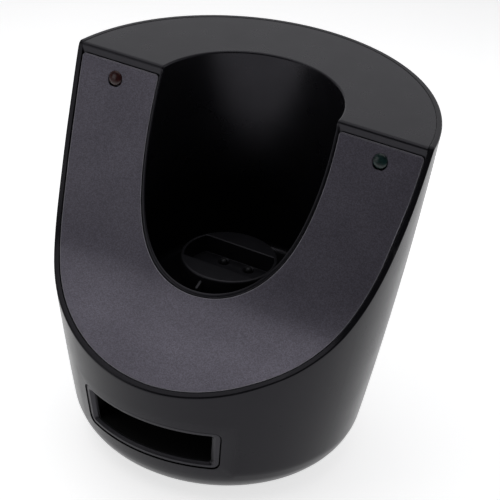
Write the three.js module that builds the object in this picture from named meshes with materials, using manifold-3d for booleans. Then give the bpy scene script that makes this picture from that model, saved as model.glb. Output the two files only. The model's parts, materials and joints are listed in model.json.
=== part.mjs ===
// Desktop charging cradle for a cordless handset.
// Millimetres, +Z up, the sloping face towards -Y. Z = 0 is the table under the rubber feet.
import * as THREE from "three";
import { mergeVertices } from "three/addons/utils/BufferGeometryUtils.js";
import Module from "manifold-3d";

const wasm = await Module();
wasm.setup();

// ---- Drum ----
const DECK_HALF_WIDTH = 60; // half width of the drum at deck level
const OVAL = 0.93; // depth of every oval over its width
const DECK_Z = 109.8; // rim of the drum at the deck
const EDGE_Z = 0.8; // lower edge of the drum, carried above the table by the feet
const TAPER = 0.2076; // share of the width lost from deck to base at an even rate
const TAPER_GROWTH = 0.0832; // further share lost, growing towards the base
const LEAN = 5.9; // how far the base stands in front of the deck
const BASE_ROUND = 15.4; // rounding of the drum's lower edge
const ROUND_TURN = 11; // slope of the wall where the rounding starts, degrees
const DRUM_RINGS = [20, 35, 50, 65, 80, 95];
const SEGMENTS = 64;
const WALL = 1.7; // drum wall
const FIT = 0.3; // clearance between fitted parts
const AXIS_Y = -2.8; // drum axis, set so that the whole part is centred front to back
const FAR_X = 70; // beyond the drum, left and right
const FAR_Y = 75; // beyond the drum, front and back
const FAR_Z = 140; // above the drum

// ---- Sloping face ----
const FOLD_Y = 7.3; // where the flat deck ends
const FACE_STATIONS = [
  [7.3, 108.2],
  [0, 91.2],
  [-10, 72.3],
  [-20, 59.5],
  [-30, 51.8],
  [-40, 46.2],
  [-52, 38.7],
];
const FACE_STEPS = 16;
const PANEL = 1.2; // thickness of the face panel
const PANEL_SUNK = 0.15; // face panel below the drum's rim
const DECK_SUNK = 0.2; // deck below the drum's rim
const PLATE = 2.0; // deck and seat thickness
const SKIRT = 12; // depth of the insert's skirt inside the drum
const SKIRT_WALL = 1.5;
const FACE_SKIRT = 0.55; // skirt under the sloping seat, as a share of the deck's
const PANEL_FOLD_GAP = 0.4; // between the panel's upper edge and the fold
const PANEL_BELOW_DECK = 2.1;

// ---- Handset pocket ----
const POCKET_Y = 5.4;
const POCKET_A = 29.2;
const POCKET_B = 27.0;
const POCKET_WALL = 1.5;
const POCKET_FLOOR_Z = 42.3;
const POCKET_FLOOR = 2.0;
const RIM_GAP = 0.3; // gap between pocket rim and face panel

// ---- Contact carrier, the round block on the pocket floor ----
const PUCK_Y = -0.7;
const PUCK_A = 14.8;
const PUCK_TOP_Z = 58.1;
const CHANNEL_Z = 52.2;
const CHANNEL_FRONT_Y = -7.0;
const CHANNEL_BACK_Y = 5.9;
const CHANNEL_RIM = 1.1;
const CONTACT_X = 4.3;
const CONTACT_Y = 3.8;
const CONTACT_TIP_Z = 53.2;
const CONTACT_R = 1.15;
const BARREL_R = 2.1;
const BARREL_Z = 38.5;
const BARREL_TOP_Z = 49.2;
const BOARD = 1.6;
const CONTACT_BOARD_Z = 36.6;
const CONTACT_BOARD_TOP = CONTACT_BOARD_Z + BOARD;
const CARRIER_WALL = 1.8;
const CARRIER_ROOF = 2.7; // thickness under the channel
const CARRIER_BOSS_R = 2.2;
const CARRIER_PILOT_R = 1.2;
const CARRIER_SCREW_X = 10.5;
const CARRIER_SCREW_HOLE_R = 1.3;
const CARRIER_POST_R = 2.4; // posts under the pocket floor
const BARREL_SLOT = [15, 6.4, 2.5]; // width, depth and corner radius
const BARREL_WALL = 0.35;
const BARREL_LIP = 0.6;
const DIMPLE_DEPTH = 0.7;
const DIMPLE_R = 2.0;
const DIMPLE_MOUTH_R = 3.1;
const KEY_X = -1.6; // key rib on the front of the carrier
const KEY_WIDTH = 1;
const KEY_REACH = 3;
const KEY_BELOW_TOP = 1.8;

// ---- Indicators ----
const LED_X = 44.5;
const LED_Y = 5.0;
const LED_R = 2.5;
const LED_PROUD = 0.7; // dome above the face panel
const LED_LENGTH = 8.6;
const LED_FLANGE_R = LED_R + 0.4;
const LED_FLANGE = 1;
const LED_LEG_X = 1.27;
const LED_LEG_HALF = 0.3;
const LED_HOLDER_IN = 3.0;
const LED_HOLDER_OUT = 4.1;
const LED_HOLDER_LOW = -2.7;

// ---- Front slot ----
const SLOT_ANGLE = 26.4; // half angle of the clear opening about the drum axis, degrees
const SLOT_LOW_Z = 15.9;
const SLOT_HIGH_Z = 26.4;
const BEZEL_SIDE = 3.5; // bezel width at each end, degrees
const BEZEL_BAND = 2.0; // bezel width above and below
const BEZEL_SUNK = 0.3;
const BEZEL_DEPTH = 1.8;
const LINER_DEPTH = 17; // slot depth behind the drum's face
const LINER_WALL = 1.2;

// ---- Base, feet and electronics ----
const BASE_Y = -LEAN; // middle of the base
const BASE_R = 29.2;
const BASE_LOW_Z = 1.0;
const BASE_THICK = 2.2;
const FOOT_X = 16;
const FOOT_Y = 14; // feet from the middle of the base
const FOOT_R = 5.5;
const FOOT_HEIGHT = 1.7;
const BOSS_X = 24;
const BOSS_Y = 5; // bosses from the middle of the base
const BOSS_R = 3.4;
const BOSS_LOW_Z = 3.6;
const BOSS_HIGH_Z = 15;
const BOSS_PILOT_R = 1.4;
const WEB_HALF = 1; // half thickness of the web between boss and wall
const WEB_LOW_Z = 5;
const BOARD_Z = 8;
const BOARD_X = 20;
const BOARD_FRONT_Y = -20;
const BOARD_BACK_Y = 26;
const POST_X = 16;
const POST_YS = [-15, 12];
const JACK_Z = 15.2;
const JACK_R = 4;
const JACK_BACK_Y = 33; // back of the inlet's body
const JACK_DEPTH = 12.4;
const JACK_HALF_WIDTH = 4.7;
const JACK_BORE = 2.9;
const INLET_GAP = 0.5; // round the inlet's barrel

const V2 = (x, y) => new THREE.Vector2(x, y);
const V3 = (x, y, z) => new THREE.Vector3(x, y, z);
const radians = THREE.MathUtils.degToRad;

// ---------------------------------------------------------------- solids
function solid(geometry) {
  const bare = geometry.index ? geometry.toNonIndexed() : geometry.clone();
  bare.deleteAttribute("normal");
  bare.deleteAttribute("uv");
  const merged = mergeVertices(bare, 1e-4);
  const index = merged.index.array;
  const kept = [];
  for (let i = 0; i < index.length; i += 3) {
    const [a, b, c] = [index[i], index[i + 1], index[i + 2]];
    if (a !== b && b !== c && c !== a) kept.push(a, b, c);
  }
  const vertProperties = new Float32Array(merged.attributes.position.array);
  const build = (tris) =>
    new wasm.Manifold(
      new wasm.Mesh({ numProp: 3, vertProperties, triVerts: new Uint32Array(tris) }),
    );
  const made = build(kept);
  return made.volume() < 0 ? build(kept.toReversed()) : made;
}

const union = (...parts) => parts.reduce((a, b) => a.add(b));
const cut = (body, ...tools) => tools.reduce((a, b) => a.subtract(b), body);

function box(x0, x1, y0, y1, z0, z1) {
  const g = new THREE.BoxGeometry(x1 - x0, y1 - y0, z1 - z0);
  return solid(g.translate((x0 + x1) / 2, (y0 + y1) / 2, (z0 + z1) / 2));
}

// A turned solid about Z: profile points are [radius, z], from the axis up and back to it, or closed.
function turned(profile, segments = 24, oval = 1) {
  const g = new THREE.LatheGeometry(profile.map(([r, z]) => V2(r, z)), segments);
  return solid(g.rotateX(Math.PI / 2).scale(1, oval, 1));
}

const rod = (r, z0, z1, segments = 24) =>
  turned([[0, z0], [r, z0], [r, z1], [0, z1]], segments);

const rodAt = (x, y, r, z0, z1, segments = 20) => rod(r, z0, z1, segments).translate([x, y, 0]);

const ovalRod = (a, y, z0, z1, segments = 72, b = a * OVAL) =>
  turned([[0, z0], [a, z0], [a, z1], [0, z1]], segments, b / a).translate([0, y, 0]);

function arc(cx, cz, r, from, to, steps) {
  return Array.from({ length: steps + 1 }, (_, i) => {
    const t = radians(from + ((to - from) * i) / steps);
    return [cx + r * Math.cos(t), cz + r * Math.sin(t)];
  });
}

// An outline in the Y-Z plane swept along X.
function slab(points, halfWidth = FAR_X) {
  const shape = new THREE.Shape(points.map(([y, z]) => V2(y, z)));
  const g = new THREE.ExtrudeGeometry(shape, { depth: 2 * halfWidth, bevelEnabled: false });
  g.applyMatrix4(new THREE.Matrix4().makeBasis(V3(0, 1, 0), V3(0, 0, 1), V3(1, 0, 0)));
  return solid(g.translate(-halfWidth, 0, 0));
}

// An outline in the X-Y plane raised along Z.
function prism(points, z0, z1) {
  const shape = new THREE.Shape(points.map(([x, y]) => V2(x, y)));
  const g = new THREE.ExtrudeGeometry(shape, { depth: z1 - z0, bevelEnabled: false });
  return solid(g.translate(0, 0, z0));
}

function roundedRect(w, d, r, cx = 0, cy = 0, steps = 4) {
  const corner = (x, y, from) => arc(x, y, r, from, from + 90, steps);
  return [
    ...corner(cx + w / 2 - r, cy + d / 2 - r, 0),
    ...corner(cx - w / 2 + r, cy + d / 2 - r, 90),
    ...corner(cx - w / 2 + r, cy - d / 2 + r, 180),
    ...corner(cx + w / 2 - r, cy - d / 2 + r, 270),
  ];
}

// Lays a solid built along +Z onto the line from a point in a given direction.
function aimed(body, origin, direction) {
  const q = new THREE.Quaternion().setFromUnitVectors(V3(0, 0, 1), direction.clone().normalize());
  const m = new THREE.Matrix4().compose(origin, q, V3(1, 1, 1));
  return body.transform([...m.elements]);
}

function tube(points, r, steps = 18, sides = 8) {
  const ring = new THREE.Shape(
    Array.from({ length: sides }, (_, i) => {
      const t = (2 * Math.PI * i) / sides;
      return V2(r * Math.cos(t), r * Math.sin(t));
    }),
  );
  const path = new THREE.CatmullRomCurve3(points.map((p) => V3(...p)));
  return solid(new THREE.ExtrudeGeometry(ring, { steps, extrudePath: path, bevelEnabled: false }));
}

// ---------------------------------------------------------------- shared surfaces
const DRUM_HEIGHT = DECK_Z - EDGE_Z;
const drumCentre = (z) => (-LEAN * (DECK_Z - z)) / DRUM_HEIGHT;

function drumRadius(z) {
  const down = (DECK_Z - z) / DRUM_HEIGHT;
  return DECK_HALF_WIDTH * (1 - TAPER * down - TAPER_GROWTH * down * down);
}

// Leans a body so that each level moves with the drum's centre line.
function lean(body) {
  const k = LEAN / DRUM_HEIGHT;
  return body.transform([1, 0, 0, 0, 0, 1, 0, 0, 0, k, 1, 0, 0, -k * DECK_Z, 0, 1]);
}

// The drum's outline from the bottom of its rounding to the deck, set in by a distance.
function drumOutline(inset) {
  const turn = radians(ROUND_TURN);
  const centreZ = EDGE_Z + BASE_ROUND;
  const endZ = centreZ - BASE_ROUND * Math.sin(turn);
  const centreR = drumRadius(endZ) - BASE_ROUND * Math.cos(turn);
  const rounding = arc(centreR, centreZ, BASE_ROUND - inset, -90, -ROUND_TURN, 7);
  const walls = [...DRUM_RINGS, DECK_Z].map((z) => [drumRadius(z) - inset, z]);
  return [...rounding, ...walls];
}

function drumBody(inset) {
  const profile = [[0, EDGE_Z + inset], ...drumOutline(inset), [0, DECK_Z]];
  return lean(turned(profile, SEGMENTS, OVAL));
}

const faceCurve = new THREE.SplineCurve(FACE_STATIONS.map(([y, z]) => V2(y, z)));

// The face profile from the fold to the front, sunk square to the face by a depth.
function faceLine(sunk) {
  return Array.from({ length: FACE_STEPS + 1 }, (_, i) => {
    const t = i / FACE_STEPS;
    const p = faceCurve.getPoint(t);
    const along = faceCurve.getTangent(t);
    return [p.x - along.y * sunk, p.y + along.x * sunk];
  });
}

const faceAt = (y) => {
  const line = faceLine(0);
  const i = line.findIndex(([py]) => py <= y);
  const [[y0, z0], [y1, z1]] = [line[Math.max(i - 1, 0)], line[Math.max(i, 1)]];
  return z0 + ((z1 - z0) * (y - y0)) / (y1 - y0);
};

const FRONT_FALL = 0.8; // slope of the face profile carried on beyond the drum

// Everything below the deck and the face, both sunk by the given depths.
function below(deckSunk, faceSunk, low = -10) {
  const line = faceLine(faceSunk);
  const top = DECK_Z - deckSunk;
  const [yTop, zTop] = line[0];
  const foldLine = zTop < top ? [[yTop, top]] : [];
  const [yEnd, zEnd] = line[line.length - 1];
  const front = [-FAR_Y, zEnd - (FAR_Y + yEnd) * FRONT_FALL];
  return slab([[FAR_Y, low], [FAR_Y, top], ...foldLine, ...line, front, [-FAR_Y, low]]);
}

const faceNormal = (() => {
  const line = faceLine(0);
  const i = line.findIndex(([y]) => y <= LED_Y);
  const [[y0, z0], [y1, z1]] = [line[i - 1], line[i]];
  return V3(0, z1 - z0, y0 - y1).normalize();
})();
const ledSeat = (side) => V3(side * LED_X, LED_Y, faceAt(LED_Y));

const group = new THREE.Group();
function add(name, body, color, roughness, metalness = 0) {
  const mesh = body.getMesh();
  const g = new THREE.BufferGeometry();
  g.setAttribute("position", new THREE.BufferAttribute(new Float32Array(mesh.vertProperties), 3));
  g.setIndex([...mesh.triVerts]);
  g.translate(0, AXIS_Y, 0);
  const flat = g.toNonIndexed();
  flat.computeVertexNormals();
  const node = new THREE.Mesh(flat, new THREE.MeshStandardMaterial({ color, roughness, metalness }));
  node.name = name;
  group.add(node);
}

// ---------------------------------------------------------------- colours
const BLACK = 0x17171a;
const DECK_GREY = 0x2b2b2e;
const CHARCOAL = 0x45424c;
const RUBBER = 0x101012;
const BRASS = 0xb08d4a;
const NICKEL = 0xb9b6ae;
const STEEL = 0x8d9096;
const BOARD_GREEN = 0x1f5a3a;
const SLEEVE = 0x2a2f3a;
const FERRITE = 0x3a3a3c;
const NYLON = 0xd8d4c8;
const LENS = { red: 0x6a1013, green: 0x0f4a26 };
const LEAD = { red: 0x8c1512, black: 0x141414, green: 0x1d5c2f };

// ---------------------------------------------------------------- drum
const SLOT_Y = drumCentre((SLOT_LOW_Z + SLOT_HIGH_Z) / 2);
const SLOT_STEPS = 12;
const SLOT_IN_R = 30; // inside the drum's wall

// A sector of the drum about the slot, between two heights and two radii.
function slotSector(halfAngle, z0, z1, rIn, rOut) {
  const at = (r, i) => {
    const t = radians(-halfAngle + (2 * halfAngle * i) / SLOT_STEPS);
    return [r * Math.sin(t), SLOT_Y - r * OVAL * Math.cos(t)];
  };
  const count = Array.from({ length: SLOT_STEPS + 1 }, (_, i) => i);
  const outer = count.map((i) => at(rOut, i));
  const inner = count.map((i) => at(rIn, i)).toReversed();
  return prism([...outer, ...inner], z0, z1);
}

const corners = (x, ys) => ys.flatMap((y) => [[-x, y], [x, y]]);
const FEET = corners(FOOT_X, [BASE_Y - FOOT_Y, BASE_Y + FOOT_Y]);
const BASE_SCREWS = corners(BOSS_X, [BASE_Y - BOSS_Y, BASE_Y + BOSS_Y]);
const BOARD_SCREWS = corners(POST_X, POST_YS);

// Posts for the base screws, each tied to the wall by a web.
function baseBosses() {
  const bosses = BASE_SCREWS.map(([x, y]) => {
    const post = rodAt(x, y, BOSS_R, BOSS_LOW_Z, BOSS_HIGH_Z);
    const wall = Math.sign(x) * DECK_HALF_WIDTH;
    const [x0, x1] = [Math.min(x, wall), Math.max(x, wall)];
    const web = box(x0, x1, y - WEB_HALF, y + WEB_HALF, WEB_LOW_Z, BOSS_HIGH_Z);
    return union(post, web);
  });
  return union(...bosses);
}

function outerShell() {
  const lip = BASE_R + FIT;
  const outer = drumOutline(0);
  const inner = drumOutline(WALL).toReversed();
  const profile = [[lip, EDGE_Z], ...outer, ...inner, [lip, EDGE_Z + WALL], [lip, EDGE_Z]];
  const full = lean(turned(profile, SEGMENTS, OVAL));
  const walls = union(full, baseBosses().intersect(drumBody(WALL * 0.5)));
  const slot = slotSector(
    SLOT_ANGLE + BEZEL_SIDE,
    SLOT_LOW_Z - BEZEL_BAND,
    SLOT_HIGH_Z + BEZEL_BAND,
    SLOT_IN_R,
    FAR_X,
  );
  const start = V3(0, JACK_BACK_Y - 2, JACK_Z);
  const inlet = aimed(rod(JACK_R + INLET_GAP, 0, JACK_DEPTH, 28), start, V3(0, 1, 0));
  const pilots = BASE_SCREWS.map(([x, y]) => rodAt(x, y, BOSS_PILOT_R, 0, BOSS_HIGH_Z - 2));
  return cut(walls.intersect(below(0, 0)), slot, inlet, ...pilots);
}

// ---------------------------------------------------------------- cradle insert and face panel
const LED_BORE = [-14, 8]; // along the lamp's axis, from the face
const ledBore = (side, r) => aimed(rod(r, ...LED_BORE, 20), ledSeat(side), faceNormal);
const SEAT_SUNK = PANEL_SUNK + PANEL + FIT;

const carrierRod = (side, r, low, high, segments) =>
  rodAt(side * CARRIER_SCREW_X, CONTACT_Y, r, low, high, segments);

function cradleInsert() {
  const outline = drumBody(WALL + FIT);
  const deep = below(DECK_SUNK + SKIRT, SEAT_SUNK + SKIRT * FACE_SKIRT);
  const top = cut(outline.intersect(below(DECK_SUNK, SEAT_SUNK)), deep);
  const inside = drumBody(WALL + FIT + SKIRT_WALL);
  const hollow = inside.intersect(below(DECK_SUNK + PLATE, SEAT_SUNK + PLATE));
  const wellOuter = ovalRod(
    POCKET_A + POCKET_WALL,
    POCKET_Y,
    POCKET_FLOOR_Z - POCKET_FLOOR,
    FAR_Z,
    56,
    POCKET_B + POCKET_WALL,
  );
  const well = ovalRod(POCKET_A, POCKET_Y, POCKET_FLOOR_Z, FAR_Z, 56, POCKET_B);
  const plate = union(cut(top, hollow), wellOuter.intersect(below(DECK_SUNK, 0)));
  const posts = [-1, 1].map((sx) =>
    carrierRod(sx, CARRIER_POST_R, CONTACT_BOARD_TOP + 0.1, POCKET_FLOOR_Z - 1, 16),
  );
  const screwHoles = [-1, 1].map((sx) => carrierRod(sx, CARRIER_SCREW_HOLE_R, 0, PUCK_TOP_Z, 14));
  const barrelSlot = prism(roundedRect(...BARREL_SLOT, 0, CONTACT_Y), 0, PUCK_TOP_Z);
  return cut(
    union(plate, ...posts),
    well,
    barrelSlot,
    ...screwHoles,
    ledBore(-1, LED_FLANGE_R + 0.2),
    ledBore(1, LED_FLANGE_R + 0.2),
  );
}

function facePanel() {
  const raised = DECK_Z - FAR_Z;
  const slice = cut(below(raised, PANEL_SUNK), below(raised, PANEL_SUNK + PANEL));
  const behindFold = box(-FAR_X, FAR_X, FOLD_Y - PANEL_FOLD_GAP, FAR_Y, 0, FAR_Z);
  const sheet = cut(slice.intersect(drumBody(WALL + FIT)), behindFold);
  const belowDeck = box(-FAR_X, FAR_X, -FAR_Y, FAR_Y, 0, DECK_Z - PANEL_BELOW_DECK);
  const margin = POCKET_WALL + RIM_GAP;
  const opening = ovalRod(POCKET_A + margin, POCKET_Y, 0, FAR_Z, 56, POCKET_B + margin);
  return cut(sheet.intersect(belowDeck), opening, ledBore(-1, LED_R + 0.2), ledBore(1, LED_R + 0.2));
}

function ledBody() {
  const dome = arc(0, LED_LENGTH - LED_R, LED_R, 0, 90, 5);
  dome[dome.length - 1][0] = 0;
  const flange = [[0, 0], [LED_FLANGE_R, 0], [LED_FLANGE_R, LED_FLANGE], [LED_R, LED_FLANGE]];
  const lens = turned([...flange, ...dome], 18);
  const h = LED_LEG_HALF;
  const legs = [-LED_LEG_X, LED_LEG_X].map((x) => box(x - h, x + h, -h, h, -2.6, 0.5));
  return union(lens, ...legs);
}

const ledBase = LED_PROUD - PANEL_SUNK - LED_LENGTH;
const onLed = (body, side, along) =>
  aimed(body, ledSeat(side).addScaledVector(faceNormal, ledBase + along), faceNormal);

function ledHolder() {
  const high = -ledBase - SEAT_SUNK - PLATE - FIT;
  const inside = [LED_HOLDER_IN, LED_HOLDER_LOW];
  const outside = [[LED_HOLDER_OUT, LED_HOLDER_LOW], [LED_HOLDER_OUT, high]];
  return turned([inside, ...outside, [LED_HOLDER_IN, high], inside], 24);
}

// ---------------------------------------------------------------- contact carrier and contacts
function contactCarrier() {
  const foot = POCKET_FLOOR_Z + 0.1;
  const block = ovalRod(PUCK_A, PUCK_Y, foot, PUCK_TOP_Z, 44);
  const key = box(
    KEY_X - KEY_WIDTH / 2,
    KEY_X + KEY_WIDTH / 2,
    PUCK_Y - PUCK_A * OVAL - KEY_REACH,
    PUCK_Y - PUCK_A * 0.6,
    foot,
    PUCK_TOP_Z - KEY_BELOW_TOP,
  );
  const strip = box(-PUCK_A, PUCK_A, CHANNEL_FRONT_Y, CHANNEL_BACK_Y, CHANNEL_Z, FAR_Z);
  const channel = ovalRod(PUCK_A - CHANNEL_RIM, PUCK_Y, 0, FAR_Z, 44).intersect(strip);
  const roof = CHANNEL_Z - CARRIER_ROOF;
  const hollow = ovalRod(PUCK_A - CARRIER_WALL, PUCK_Y, 0, roof, 32);
  const bosses = [-1, 1].map((sx) => carrierRod(sx, CARRIER_BOSS_R, foot, roof + 1, 16));
  const pilots = [-1, 1].map((sx) => carrierRod(sx, CARRIER_PILOT_R, 0, roof, 14));
  const low = -DIMPLE_DEPTH;
  const dish = turned([[0, low], [DIMPLE_R, low], [DIMPLE_MOUTH_R, 0.5], [0, 0.5]], 24);
  const dimples = [-1, 1].map((sx) => dish.translate([sx * CONTACT_X, CONTACT_Y, CHANNEL_Z]));
  const holes = [-1, 1].map((sx) =>
    rodAt(sx * CONTACT_X, CONTACT_Y, CONTACT_R + FIT, 0, PUCK_TOP_Z, 18),
  );
  const shellOnly = cut(union(block, key), hollow);
  return cut(union(shellOnly, ...bosses), channel, ...dimples, ...holes, ...pilots);
}

const PIN_COLLAR_Z = 47.2;
const PIN_COLLAR = 1.1;
const PIN_COLLAR_R = 1.6;

function contactPin() {
  const tip = arc(0, CONTACT_TIP_Z - CONTACT_R, CONTACT_R, 0, 90, 4);
  tip[tip.length - 1][0] = 0;
  return turned(
    [
      [0, PIN_COLLAR_Z],
      [PIN_COLLAR_R, PIN_COLLAR_Z],
      [PIN_COLLAR_R, PIN_COLLAR_Z + PIN_COLLAR],
      [CONTACT_R, PIN_COLLAR_Z + PIN_COLLAR],
      ...tip,
    ],
    16,
  );
}

function contactBarrel() {
  const bore = BARREL_R - BARREL_WALL;
  const lipZ = BARREL_TOP_Z - BARREL_LIP;
  return turned(
    [
      [0, BARREL_Z],
      [BARREL_R, BARREL_Z],
      [BARREL_R, BARREL_TOP_Z],
      [CONTACT_R + 0.25, BARREL_TOP_Z],
      [CONTACT_R + 0.25, lipZ],
      [bore, lipZ],
      [bore, BARREL_Z + 1],
      [0, BARREL_Z + 1],
    ],
    16,
  );
}

const SPRING_LOW_Z = BARREL_Z + 1.35;
const SPRING_HIGH_Z = PIN_COLLAR_Z - 0.3;

function contactSpring() {
  const wire = 0.2;
  const r = 1.25;
  const turns = 6;
  const perTurn = 10;
  const low = SPRING_LOW_Z + wire;
  const rise = SPRING_HIGH_Z - wire - low;
  class Helix extends THREE.Curve {
    getPoint(t, target = V3(0, 0, 0)) {
      const a = t * turns * 2 * Math.PI;
      return target.set(r * Math.cos(a), r * Math.sin(a), low + rise * t);
    }
  }
  const ring = new THREE.Shape([V2(wire, 0), V2(0, wire), V2(-wire, 0), V2(0, -wire)]);
  const steps = turns * perTurn;
  return solid(
    new THREE.ExtrudeGeometry(ring, { steps, extrudePath: new Helix(), bevelEnabled: false }),
  );
}

function contactBoard() {
  const sheet = prism(roundedRect(29, 11, 1.5, 0, CONTACT_Y), CONTACT_BOARD_Z, CONTACT_BOARD_TOP);
  const holes = [-1, 1].map((sx) => carrierRod(sx, CARRIER_SCREW_HOLE_R, 0, PUCK_TOP_Z, 14));
  return cut(sheet, ...holes);
}

// A pan-head screw with its head underneath and its shank up along +Z.
function screw(headR, headT, shankR, length) {
  const head = [[0, 0], [headR * 0.75, 0], [headR, headT * 0.4], [headR, headT]];
  const body = turned([...head, [shankR, headT], [shankR, length], [0, length]], 12);
  return cut(body, box(-headR * 0.62, headR * 0.62, -0.3, 0.3, -1, headT * 0.5));
}

// ---------------------------------------------------------------- front slot
function slotBezel() {
  const outer = slotSector(
    SLOT_ANGLE + BEZEL_SIDE - 0.35,
    SLOT_LOW_Z - BEZEL_BAND + FIT,
    SLOT_HIGH_Z + BEZEL_BAND - FIT,
    SLOT_IN_R,
    FAR_X,
  );
  const band = cut(drumBody(BEZEL_SUNK), drumBody(BEZEL_SUNK + BEZEL_DEPTH));
  const opening = slotSector(SLOT_ANGLE, SLOT_LOW_Z, SLOT_HIGH_Z, SLOT_IN_R, FAR_X);
  return cut(band.intersect(outer), opening);
}

function slotLiner() {
  const front = drumBody(BEZEL_SUNK + BEZEL_DEPTH + FIT);
  const half = drumRadius(SLOT_HIGH_Z) * Math.sin(radians(SLOT_ANGLE));
  const yBack = drumCentre(SLOT_LOW_Z) - drumRadius(SLOT_LOW_Z) * OVAL + LINER_DEPTH;
  const w = LINER_WALL;
  const low = SLOT_LOW_Z - 0.2;
  const high = SLOT_HIGH_Z + 0.2;
  const outer = box(-half - w, half + w, -FAR_Y, yBack + w, low - w, high + w);
  const inner = box(-half, half, -FAR_Y - 1, yBack, low, high);
  return cut(outer.intersect(front), inner);
}

// ---------------------------------------------------------------- base
function basePlate() {
  const plate = ovalRod(BASE_R, BASE_Y, BASE_LOW_Z, BASE_LOW_Z + BASE_THICK, 48);
  const posts = BOARD_SCREWS.map(([x, y]) => rodAt(x, y, 2.8, BASE_LOW_Z + 1, BOARD_Z - 0.1, 14));
  const footSeats = FEET.map(([x, y]) => rodAt(x, y, FOOT_R + FIT, 0, BASE_LOW_Z + 0.8, 20));
  const heads = BASE_SCREWS.map(([x, y]) => rodAt(x, y, 3.1, 0, BASE_LOW_Z + 1.3, 14));
  const holes = BASE_SCREWS.map(([x, y]) => rodAt(x, y, 1.5, 0, 6, 10));
  const pilots = BOARD_SCREWS.map(([x, y]) => rodAt(x, y, 1.25, BASE_LOW_Z + 1.2, 12, 10));
  const vents = [-2, -1, 0, 1, 2].map((i) =>
    prism(roundedRect(22, 1.6, 0.79, 0, BASE_Y + i * 4, 2), 0, 6),
  );
  return cut(union(plate, ...posts), ...footSeats, ...heads, ...holes, ...pilots, ...vents);
}

// ---------------------------------------------------------------- electronics
function mainBoard() {
  const length = BOARD_BACK_Y - BOARD_FRONT_Y;
  const outline = roundedRect(2 * BOARD_X, length, 2, 0, BOARD_FRONT_Y + length / 2);
  const sheet = prism(outline, BOARD_Z, BOARD_Z + BOARD);
  return cut(sheet, ...BOARD_SCREWS.map(([x, y]) => rodAt(x, y, 1.5, 0, 20, 14)));
}

const BOARD_TOP = BOARD_Z + BOARD + 0.1;
const JACK_FRONT_Y = JACK_BACK_Y - JACK_DEPTH;
const backwards = (body, y) => aimed(body, V3(0, y, JACK_Z), V3(0, 1, 0));

function dcJack() {
  const w = JACK_HALF_WIDTH;
  const body = box(-w, w, JACK_FRONT_Y, JACK_BACK_Y, BOARD_TOP, JACK_Z + 5.2);
  const barrel = backwards(rod(JACK_R, 0, 5.3), JACK_BACK_Y - 0.4);
  const bore = backwards(rod(JACK_BORE, 0, 20), JACK_FRONT_Y + 3.5);
  return cut(union(body, barrel), bore);
}

function dcPin() {
  const tip = arc(0, 9.4, 0.95, 0, 90, 4);
  tip[tip.length - 1][0] = 0;
  return backwards(turned([[0, 0], [0.95, 0], ...tip], 20), JACK_FRONT_Y + 3.6);
}

function chargeChip() {
  const body = box(-3, 3, -2, 2, 0.25, 1.75);
  const legs = [-2, -0.67, 0.67, 2].flatMap((x) => [
    box(x - 0.2, x + 0.2, -3.2, -1.5, 0, 0.45),
    box(x - 0.2, x + 0.2, 1.5, 3.2, 0, 0.45),
  ]);
  return union(body, ...legs).translate([8, 4, BOARD_TOP]);
}

const CAP_R = 3.1;
const CAP_HEIGHT = 8;

function capacitor(x, y) {
  const groove = [[CAP_R, 1], [CAP_R - 0.2, 1.3], [CAP_R, 1.6]];
  const crown = [[CAP_R, CAP_HEIGHT - 0.4], [CAP_R - 0.3, CAP_HEIGHT], [0, CAP_HEIGHT]];
  return turned([[0, 0], [CAP_R, 0], ...groove, ...crown], 16).translate([x, y, BOARD_TOP]);
}

function inductor() {
  const base = prism(roundedRect(8, 8, 1.5), 0, 1);
  const drum = turned([[0, 0.8], [2.6, 0.8], [2.6, 3.4], [3.7, 3.4], [3.7, 4.4], [0, 4.4]], 16);
  return union(base, drum).translate([-9, 15, BOARD_TOP]);
}

const HEADER = [0, -10];
const HEADER_HALF = [6, 2.6];
const HEADER_HEIGHT = 5;
const HEADER_WALL = 0.8;
const HEADER_FLOOR = 1.2;

function header(x, y) {
  const around = (inset, low, high) => {
    const [a, b] = HEADER_HALF.map((half) => half - inset);
    return box(x - a, x + a, y - b, y + b, BOARD_TOP + low, BOARD_TOP + high);
  };
  return cut(around(0, 0, HEADER_HEIGHT), around(HEADER_WALL, HEADER_FLOOR, HEADER_HEIGHT + 1));
}

// ---------------------------------------------------------------- assembly
add("outer_shell", outerShell(), BLACK, 0.42);
add("cradle_insert", cradleInsert(), DECK_GREY, 0.5);
add("face_panel", facePanel(), CHARCOAL, 0.38, 0.5);
add("contact_carrier", contactCarrier(), DECK_GREY, 0.45);
add("slot_bezel", slotBezel(), BLACK, 0.4);
add("slot_liner", slotLiner(), RUBBER, 0.7);
add("base_plate", basePlate(), BLACK, 0.6);

for (const [side, name] of [[-1, "red"], [1, "green"]]) {
  add("led_" + name, onLed(ledBody(), side, 0), LENS[name], 0.15);
  add("led_holder_" + name, onLed(ledHolder(), side, 0), BLACK, 0.6);
  const tile = prism(roundedRect(9, 9, 1), -4.1, -2.9);
  add("led_board_" + name, onLed(tile, side, 0), BOARD_GREEN, 0.5);
}

for (const [side, name] of [[-1, "left"], [1, "right"]]) {
  const place = (body) => body.translate([side * CONTACT_X, CONTACT_Y, 0]);
  add("contact_pin_" + name, place(contactPin()), NICKEL, 0.25, 1);
  add("contact_barrel_" + name, place(contactBarrel()), BRASS, 0.35, 1);
  add("contact_spring_" + name, place(contactSpring()), STEEL, 0.35, 1);
  const fastener = screw(2.1, 1.4, 0.95, 12);
  const at = [side * CARRIER_SCREW_X, CONTACT_Y, CONTACT_BOARD_Z - 1.5];
  add("carrier_screw_" + name, fastener.translate(at), STEEL, 0.35, 1);
}
add("contact_board", contactBoard(), BOARD_GREEN, 0.5);

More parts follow.
